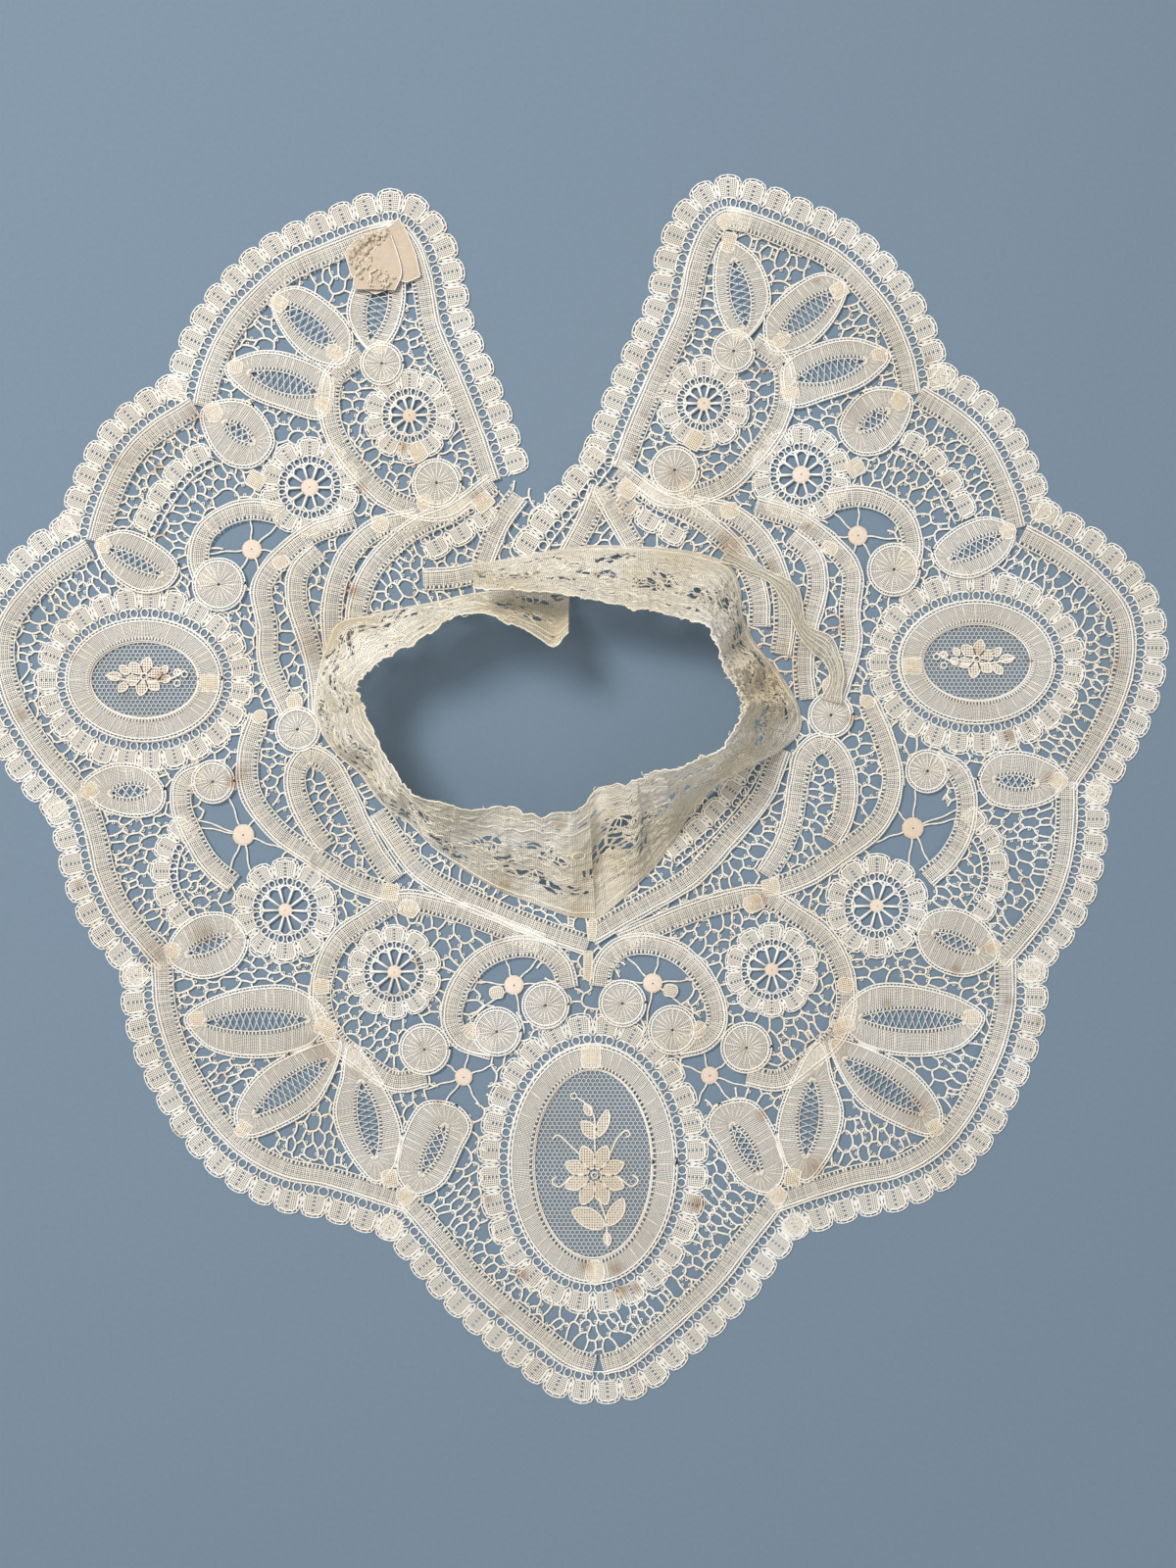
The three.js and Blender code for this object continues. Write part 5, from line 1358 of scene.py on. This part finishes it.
# Bars whipped all along with buttonhole stitch: bright and slightly lumpy against the card.
bar_cotton = fibre("buttonholed_bar_cotton", "#fffcf2", "#fbeed8", "#cf9250", 0.82, sheen=0.3)
wheel_parts = {name: [] for name in names}
for side_name, side in SIDES:
    for wheel, ((x, y, hub, reach), ends_at) in WHEELS.items():
        centre = placed([[x, y]], side)[0]
        home = {"b": f"ground_back_{side_name}", "d": f"ground_side_{side_name}"}.get(wheel, "ground_centre")
        wheel_parts[home].append((knob(centre, hub * MM_PER_STEP, GROUND_LEVEL + 0.2), 1))
        for end in placed(ends_at, side):
            outward = (end - centre) / np.linalg.norm(end - centre)
            inner_end = centre + outward * hub * MM_PER_STEP * 0.8
            line = np.linspace(inner_end, end + outward * 1.5, WHEEL_BAR_POINTS)
            wave = 0.25 * np.sin(np.linspace(0, 3 * np.pi, WHEEL_BAR_POINTS))
            line = line + wave[:, None] * [-outward[1], outward[0]]
            radius = np.where(np.arange(WHEEL_BAR_POINTS) % 2, 0.36, 0.28)[None]
            wheel_parts[home].append(cords(raised(line, GROUND_LEVEL + 0.3), radius))
for number, name in enumerate(names):
    parts = [cords(bars[nearest == number], BAR_RADII[None])]
    parts.append(cords(picots[loop_nearest == number], PICOT_THREAD))
    parts += wheel_parts[name]
    piece(f"{name}_bars", parts, [bar_cotton, knob_cotton], [name])

# The stand band. A strip of sheer old lace, with a casing along its top edge and openwork below, is
# gathered into the neck and leans in over it, crumpled. At the back its right end laps over its left.
BAND_HEIGHT = 45
CAMERA_HEIGHT = 560
BAND_ROWS = 58
BAND_STEP = 0.8
BAND_CORDS = [  # height up the band, sway and radius in mm, from the top edge down to the foot
    (BAND_HEIGHT, 0, 0.32), (40.6, 0.5, 0.24), (36.4, 0.9, 0.22), (2.6, 0.4, 0.24),
]
LACE_RING_PITCH = 4.0
LACE_RING_RADIUS = 0.25
LOOSE_STRANDS = 110
STRAND_RADIUS = 0.18
FRAYED_ENDS = 26
FRAY_RADIUS = 0.13
FOOT_PLEAT_PITCH = 3.1
PLEATS_REACH_UP = 18
CRUSHED_PLACES = [[800, 700], [350, 690]]  # x, y on the grid, where the band bends at the sides
CRUSHED_REACH = 18
# Old, worn cotton lace: sheer, yellowed in patches, crushed, and broken open in drifts.
band_cotton = fibre("sheer_band_cotton", "#f8efdf", "#d8c9a9", "#d3b478", 0.9, (0.7, 0.7), 0.54, openwork=3.0)
# The cords in it: creamier than the braid's, so that they draw its rings and edges softly.
band_cord = fibre("band_cotton_cord", "#fff9ea", "#efe2c6", "#dcbf85", 0.85)


def band_ends(rows):
    """The foot line and the top line of the band in space, the slant between them being its height."""
    foot, seen = on_table(rows[:, :2]), on_table(rows[:, 2:4])
    centre = on_table([GRID_CENTRE])[0]
    height = np.full(len(rows), BAND_HEIGHT * 0.8)
    for _ in range(4):
        top = centre + (seen - centre) * (1 - height / CAMERA_HEIGHT)[:, None]
        lean = np.minimum(BAND_HEIGHT * 0.97, np.linalg.norm(top - foot, axis=1))
        height = np.sqrt(BAND_HEIGHT**2 - lean**2)
    return raised(foot, TAPE_LEVEL), np.column_stack((top, TAPE_LEVEL + height))


def crumple(u, v, rng, folds, reach):
    """Soft folds at many angles over a sheet whose places are u and v, in millimetres."""
    total = np.zeros(np.shape(u))
    for _ in range(folds):
        turn = rng.uniform(0, np.pi)
        length = rng.uniform(6, 22)
        phase = rng.uniform(0, 2 * np.pi)
        wave = np.sin((u * np.cos(turn) + v * np.sin(turn)) * 2 * np.pi / length + phase)
        total += (1 - np.abs(wave)) * rng.uniform(0.3, 1.0) * np.sign(wave)
    return reach * total / folds**0.5


def turned(x, y, turn):
    """Places x and y turned round the origin."""
    return x * math.cos(turn) - y * math.sin(turn), x * math.sin(turn) + y * math.cos(turn)


def openings(u, v, rng):
    """How open the band's lace is, from 0 to 1: a broken row under the casing, and drifts below it."""
    openness = np.clip(1.4 - np.abs(v - 38) / 1.1, 0, 1) * (np.sin(u / 6.5) + 0.6 * np.sin(u / 2.9) > 0.1)
    for middle in np.arange(3, u.max(), 5.0):
        x, y = middle + rng.uniform(-4, 4), rng.uniform(7, 31)
        lean = rng.uniform(-0.5, 0.5)
        size = rng.uniform(4.5, 10), rng.uniform(2.0, 4.8)
        s, t = turned(u - x, v - y, -lean)
        away = (s / size[0])**2 + (t / size[1])**2
        openness = np.maximum(openness, np.clip((1.25 - away) * 2, 0, 1))
    return openness


for n, (side_name, rows) in enumerate((("right", BAND_RIGHT), ("left", BAND_LEFT))):
    rng = np.random.default_rng(500 + n)
    foot, top = band_ends(rows)
    both = smooth(np.column_stack((foot, top, rows[:, 4])), BAND_STEP * 1.25)
    foot, top, bulge = both[:, :3], both[:, 3:6], both[:, 6]
    levels = np.linspace(0, 1, BAND_ROWS)
    count = len(foot)
    top = top + (top - foot) * wander(count, 5, 0.03, rng)[:, None]
    spots = foot[:, None] + (top - foot)[:, None] * levels[None, :, None]
    along = np.gradient(foot, axis=0)
    normal = np.cross(along, top - foot)
    normal /= np.linalg.norm(normal, axis=1, keepdims=True)
    outward = np.column_stack((-along[:, 1], along[:, 0], along[:, 2] * 0))
    normal *= np.sign((normal * outward).sum(axis=1, keepdims=True))
    smoothing = np.hanning(25) / np.hanning(25).sum()
    padded = np.pad(normal, ((12, 12), (0, 0)), mode="edge")
    normal = np.column_stack([np.convolve(part, smoothing, "valid") for part in padded.T])
    walk = walked(foot)
    u, v = np.meshgrid(walk, levels * BAND_HEIGHT, indexing="ij")
    shape = bulge[:, None] * np.sin(np.pi * levels)[None]
    lengthwise = crumple(u * 0.4, v * 1.5, rng, 8, 0.9)
    fine = crumple(u * 2.2, v * 3.0, rng, 10, 0.36)
    crushed = np.zeros(count)
    for place in on_table(CRUSHED_PLACES):
        crushed += np.exp(-((foot[:, :2] - place) ** 2).sum(axis=1) / CRUSHED_REACH**2)
    pleats = 0.3 * np.sin(u * 2 * np.pi / FOOT_PLEAT_PITCH + 3 * np.sin(u / 9))
    pleats = pleats * np.clip(1 - v / PLEATS_REACH_UP, 0, 1)
    fade = np.clip(levels * 5, 0, 1)[None]
    crushed = crushed[:, None]
    shape = shape + (lengthwise * (1 + crushed) + fine * (1 + 2 * crushed)) * fade + pleats * fade
    grid = spots + normal[:, None] * shape[..., None]
    band = cloth(grid, np.stack((u, v), axis=2))
    name = f"stand_band_{side_name}"
    band_sheet = piece(f"{name}_cloth", [band], [band_cotton], [name])
    openness = openings(u, v, rng).ravel().astype(np.float32)
    band_sheet.data.attributes.new("open", "FLOAT", "POINT").data.foreach_set("value", openness)

    def on_band(places):
        """Places along and up the band, in millimetres, as points on its cloth."""
        i = np.clip(np.interp(places[..., 0], walk, np.arange(count)), 0, count - 1.001)
        j = np.clip(places[..., 1] / BAND_HEIGHT * (BAND_ROWS - 1), 0, BAND_ROWS - 1.001)
        row, column = i.astype(int), j.astype(int)
        i, j = (i - row)[..., None], (j - column)[..., None]
        near = grid[row, column] * (1 - j) + grid[row, column + 1] * j
        far = grid[row + 1, column] * (1 - j) + grid[row + 1, column + 1] * j
        return near * (1 - i) + far * i + normal[row] * 0.1

    threads = []
    for level, sway, radius in BAND_CORDS:
        threads.append(cords(on_band(np.column_stack((walk, level + wander(count, 6, sway, rng)))), radius))
    turn = np.linspace(0, 2 * np.pi, 13)
    for middle in np.arange(4, walk[-1] - 4, LACE_RING_PITCH):
        spot = np.array([middle, 0]) + rng.uniform((-2, 11), (2, 30))
        lean = rng.uniform(0, np.pi)
        petal_size = rng.uniform((2.0, 1.0), (4.0, 1.8))
        ring = np.column_stack(turned(petal_size[0] * np.cos(turn), petal_size[1] * np.sin(turn), lean))
        threads.append(cords(on_band(spot + ring), LACE_RING_RADIUS))
    for _ in range(LOOSE_STRANDS):
        start = np.array([rng.uniform(5, walk[-1] - 15), rng.uniform(9, 31)])
        run = np.linspace(0, rng.uniform(5, 12), 9)
        climb = rng.uniform(-0.9, 0.9) * run + 0.6 * np.sin(run + rng.uniform(0, 6))
        threads.append(cords(on_band(start + np.column_stack((run, climb))), STRAND_RADIUS))
    for _ in range(FRAYED_ENDS):
        root = on_band(np.array([rng.uniform(2, walk[-1] - 2), BAND_HEIGHT]))
        reach = rng.uniform(0.6, 2.4)
        bearing = rng.uniform(0, 2 * np.pi)
        x, y, z = np.array([[0, 0, 0], [0.5, 0.2, 0.1], [1, -0.1, 0.0]]).T * reach
        fray = np.column_stack((*turned(x, y, bearing), z))
        threads.append(cords(root + fray - [0, 0, 0.3], FRAY_RADIUS))
    lace = piece(f"{name}_cords", threads, [band_cord])

# The torn strip. A length of the band's gauze lining has come away on the right and lies over the yoke,
# crumpled and twisted on itself.
STRIP = [[738, 566], [766, 580], [802, 604], [818, 644], [842, 664], [852, 690], [846, 716]]
STRIP_HALF = 3.5
STRIP_STEP = 0.7
# Torn cotton gauze: greyer and flatter than the lace, without any brightness of its own.
gauze = fibre("torn_cotton_gauze", "#cdc7b8", "#aba38f", "#9a7a4e", 0.9, (0.7, 0.7), 0.42)
rng = np.random.default_rng(560)
line = smooth(on_table(STRIP), STRIP_STEP)
count = len(line)
walk = np.arange(count) * STRIP_STEP
half = STRIP_HALF + wander(count, 8, 1.5, rng)
twist = 0.75 * np.sin(walk / 8.5) + wander(count, 10, 0.3, rng)
shares = np.linspace(-1, 1, 15)
columns = []
for share in shares:
    reach = half * share * np.cos(twist)
    pleat = 0.45 * np.sin(share * 9 + 1.5 * np.sin(walk / 6)) + 0.2 * np.sin(walk * 1.7 + share * 4)
    height = TAPE_LEVEL + 2.6 + half * share * np.sin(twist) * 0.35 + pleat
    columns.append(raised(line + left_of(line) * reach[:, None], height))
grid = np.stack(columns, axis=1)
weave = np.stack([np.column_stack((walk, half * share)) for share in shares], axis=1)
strip = cloth(grid, weave)
made = piece("torn_strip_cloth", [strip], [gauze])
threads = [cords(grid[:, k], 0.22 if k in (0, 14) else 0.14) for k in (0, 3, 6, 9, 11, 14)]
frayed = piece("torn_strip_threads", threads, [band_cord])

# The ribbon patch. A scrap of cream cotton ribbon is folded over itself and sewn down over the left
# back tip, its surface rumpled, and loose sewing thread lies tangled on it.
PATCH = [
    [353, 261], [363, 249], [385, 240], [399, 234], [408, 226], [416, 240], [425, 262], [430, 285],
    [416, 291], [405, 288], [397, 298], [384, 303], [372, 297], [360, 284],
]
FLAP_EDGES = [
    [[398, 241], [377, 266], [364, 284], [362, 299]],
    [[400, 243], [408, 266], [411, 284], [404, 300]],
]
TANGLES = [(-9, 1, 3, 7), (-3, 8, 5, 2.5), (-1, -8, 5, 3)]  # x, y from the middle, reach either way, in mm
TANGLED_THREADS = 84
PATCH_LEVEL = 2.6
# Folded cotton ribbon: beige and nearly solid beside the lace, with no shine.
ribbon_cotton = fibre("folded_cotton_ribbon", "#d2c0a9", "#b8a48b", "#a77a48", 0.95, (0.5, 0.5), 0.85, 0.6)
# The tangled sewing thread on it: paler, so that each loop shows with a small shadow.
tangled_thread = fibre("tangled_sewing_thread", "#f3e6d2", "#d8c3a2", "#a77a48", 0.9)
outline = evenly(on_table([*PATCH, PATCH[0]]), 0.9)[:-1]
middle = outline.mean(axis=0)
rng = np.random.default_rng(600)
shares = np.linspace(1, 0.04, 14)
grid = np.stack([middle + (outline - middle) * share for share in shares], axis=1)
folds = crumple(grid[..., 0] * 3.0, grid[..., 1] * 3.0, rng, 9, 0.6)
lumpy = np.clip((middle[0] - 3 - grid[..., 0]) / 6, 0, 1) + np.clip((middle[1] - 5 - grid[..., 1]) / 5, 0, 1)
heights = PATCH_LEVEL + 0.55 + folds * (0.5 + lumpy) * np.clip((1 - shares) * 6 + 0.3, 0, 1)[None]
grid = np.concatenate((grid, heights[..., None]), axis=2)
ground_layer = cloth(grid, grid[..., :2], closed=True)
rows = np.linspace(0, 1, 16)
left, right = (smooth(on_table(edge), 0.8) for edge in FLAP_EDGES)
left, right = (points_at(rows, np.linspace(0, 1, len(edge)), edge) for edge in (left, right))
shares = np.linspace(0, 1, 12)[None, :, None]
flap = left[:, None] * (1 - shares) + right[:, None] * shares
rumple = crumple(flap[..., 0] * 3, flap[..., 1] * 3, rng, 7, 0.3)
rise = PATCH_LEVEL + 1.5 + 0.6 * np.sin(np.pi * shares[..., 0]) + rumple
flap = np.concatenate((flap, rise[..., None]), axis=2)
flap_layer = cloth(flap, flap[..., :2])
layers = [ground_layer, flap_layer]
patch = piece("ribbon_patch_cloth", layers, [ribbon_cotton], ["ribbon_patch"])
threads = [cords(flap[:, k], 0.2) for k in (0, -1)]
threads.append(cords(np.vstack((grid[:, 0], grid[:1, 0])), 0.2))
for n in range(TANGLED_THREADS):
    x, y, across, down = TANGLES[n % len(TANGLES)]
    start = middle + (x, y) + rng.uniform(-1, 1, 2) * (across, down)
    steps = np.cumsum(rng.uniform(-1.0, 1.0, (7, 2)), axis=0)
    run = smooth(start + steps, 0.5)
    run = run[inside(outline, run)]
    if len(run) > 3:
        height = PATCH_LEVEL + 2.6 + 0.4 * np.sin(np.linspace(0, 7, len(run)))
        threads.append((cords(raised(run, height), 0.25), 1))
sewing = piece("ribbon_patch_stitches", threads, [gimp_cotton, tangled_thread])
size = (outline.max(axis=0) - outline.min(axis=0)) / 1000

# The table. A sheet of plain, matt, pale blue-grey card lies under the collar, with soft studio light
# from overhead, more of it from the upper left, and a camera straight above.
FLOOR_HALF = 0.9
floor_mesh = bpy.data.meshes.new("card")
corners = [(x * FLOOR_HALF, y * FLOOR_HALF, 0) for x, y in ((-1, -1), (1, -1), (1, 1), (-1, 1))]
floor_mesh.from_pydata(corners, [], [(0, 1, 2, 3)])
floor = bpy.data.objects.new("card", floor_mesh)
bpy.context.scene.collection.objects.link(floor)
# Uncoated card: quite matt, in two near shades of blue-grey, which keeps the surface from looking flat.
card = bpy.data.materials.new("pale_blue_card")
card.use_nodes = True
tree = card.node_tree
tree.nodes.clear()
place = node(tree, "ShaderNodeTexCoord").outputs["Object"]
flecks = node(tree, "ShaderNodeTexNoise", {"Scale": 700.0, "Detail": 3.0}, {"Vector": place})
tone = node(
    tree, "ShaderNodeMix", {"data_type": "RGBA", 6: colour("#6c7e8e"), 7: colour("#758797")},
    {0: flecks.outputs["Fac"]},
)
finish = node(tree, "ShaderNodeBsdfPrincipled", {"Roughness": 0.95}, {"Base Color": tone.outputs[2]})
node(tree, "ShaderNodeOutputMaterial", None, {"Surface": finish.outputs[0]})
floor_mesh.materials.append(card)

SKY_STRENGTH = 0.4
LAMPS = [  # name, place and side in metres, power in watts
    ("key", (-0.5, 0.5, 1.28), 0.42, 17.5),
    ("fill", (0.7, -0.7, 1.4), 1.2, 4.5),
]
world = bpy.data.worlds.new("studio")
bpy.context.scene.world = world
world.use_nodes = True
sky = world.node_tree.nodes["Background"]
sky.inputs["Color"].default_value = (1, 1, 1, 1)
sky.inputs["Strength"].default_value = SKY_STRENGTH
for name, place, size, power in LAMPS:
    light = bpy.data.lights.new(name, "AREA")
    light.size = size
    light.energy = power
    lamp = bpy.data.objects.new(name, light)
    lamp.location = place
    lamp.rotation_euler = (Vector((0, 0, 0)) - Vector(place)).to_track_quat("-Z", "Y").to_euler()
    bpy.context.scene.collection.objects.link(lamp)

LENS = 36  # mm, and as wide a sensor
lens = bpy.data.cameras.new("overhead")
lens.lens = LENS
lens.sensor_width = LENS
lens.clip_start = 0.01
camera = bpy.data.objects.new("overhead", lens)
camera.location = (ORIGIN_SHIFT[0] / 1000, ORIGIN_SHIFT[1] / 1000, CAMERA_HEIGHT / 1000)
bpy.context.scene.collection.objects.link(camera)
bpy.context.scene.camera = camera
bpy.context.scene.view_settings.view_transform = "Standard"
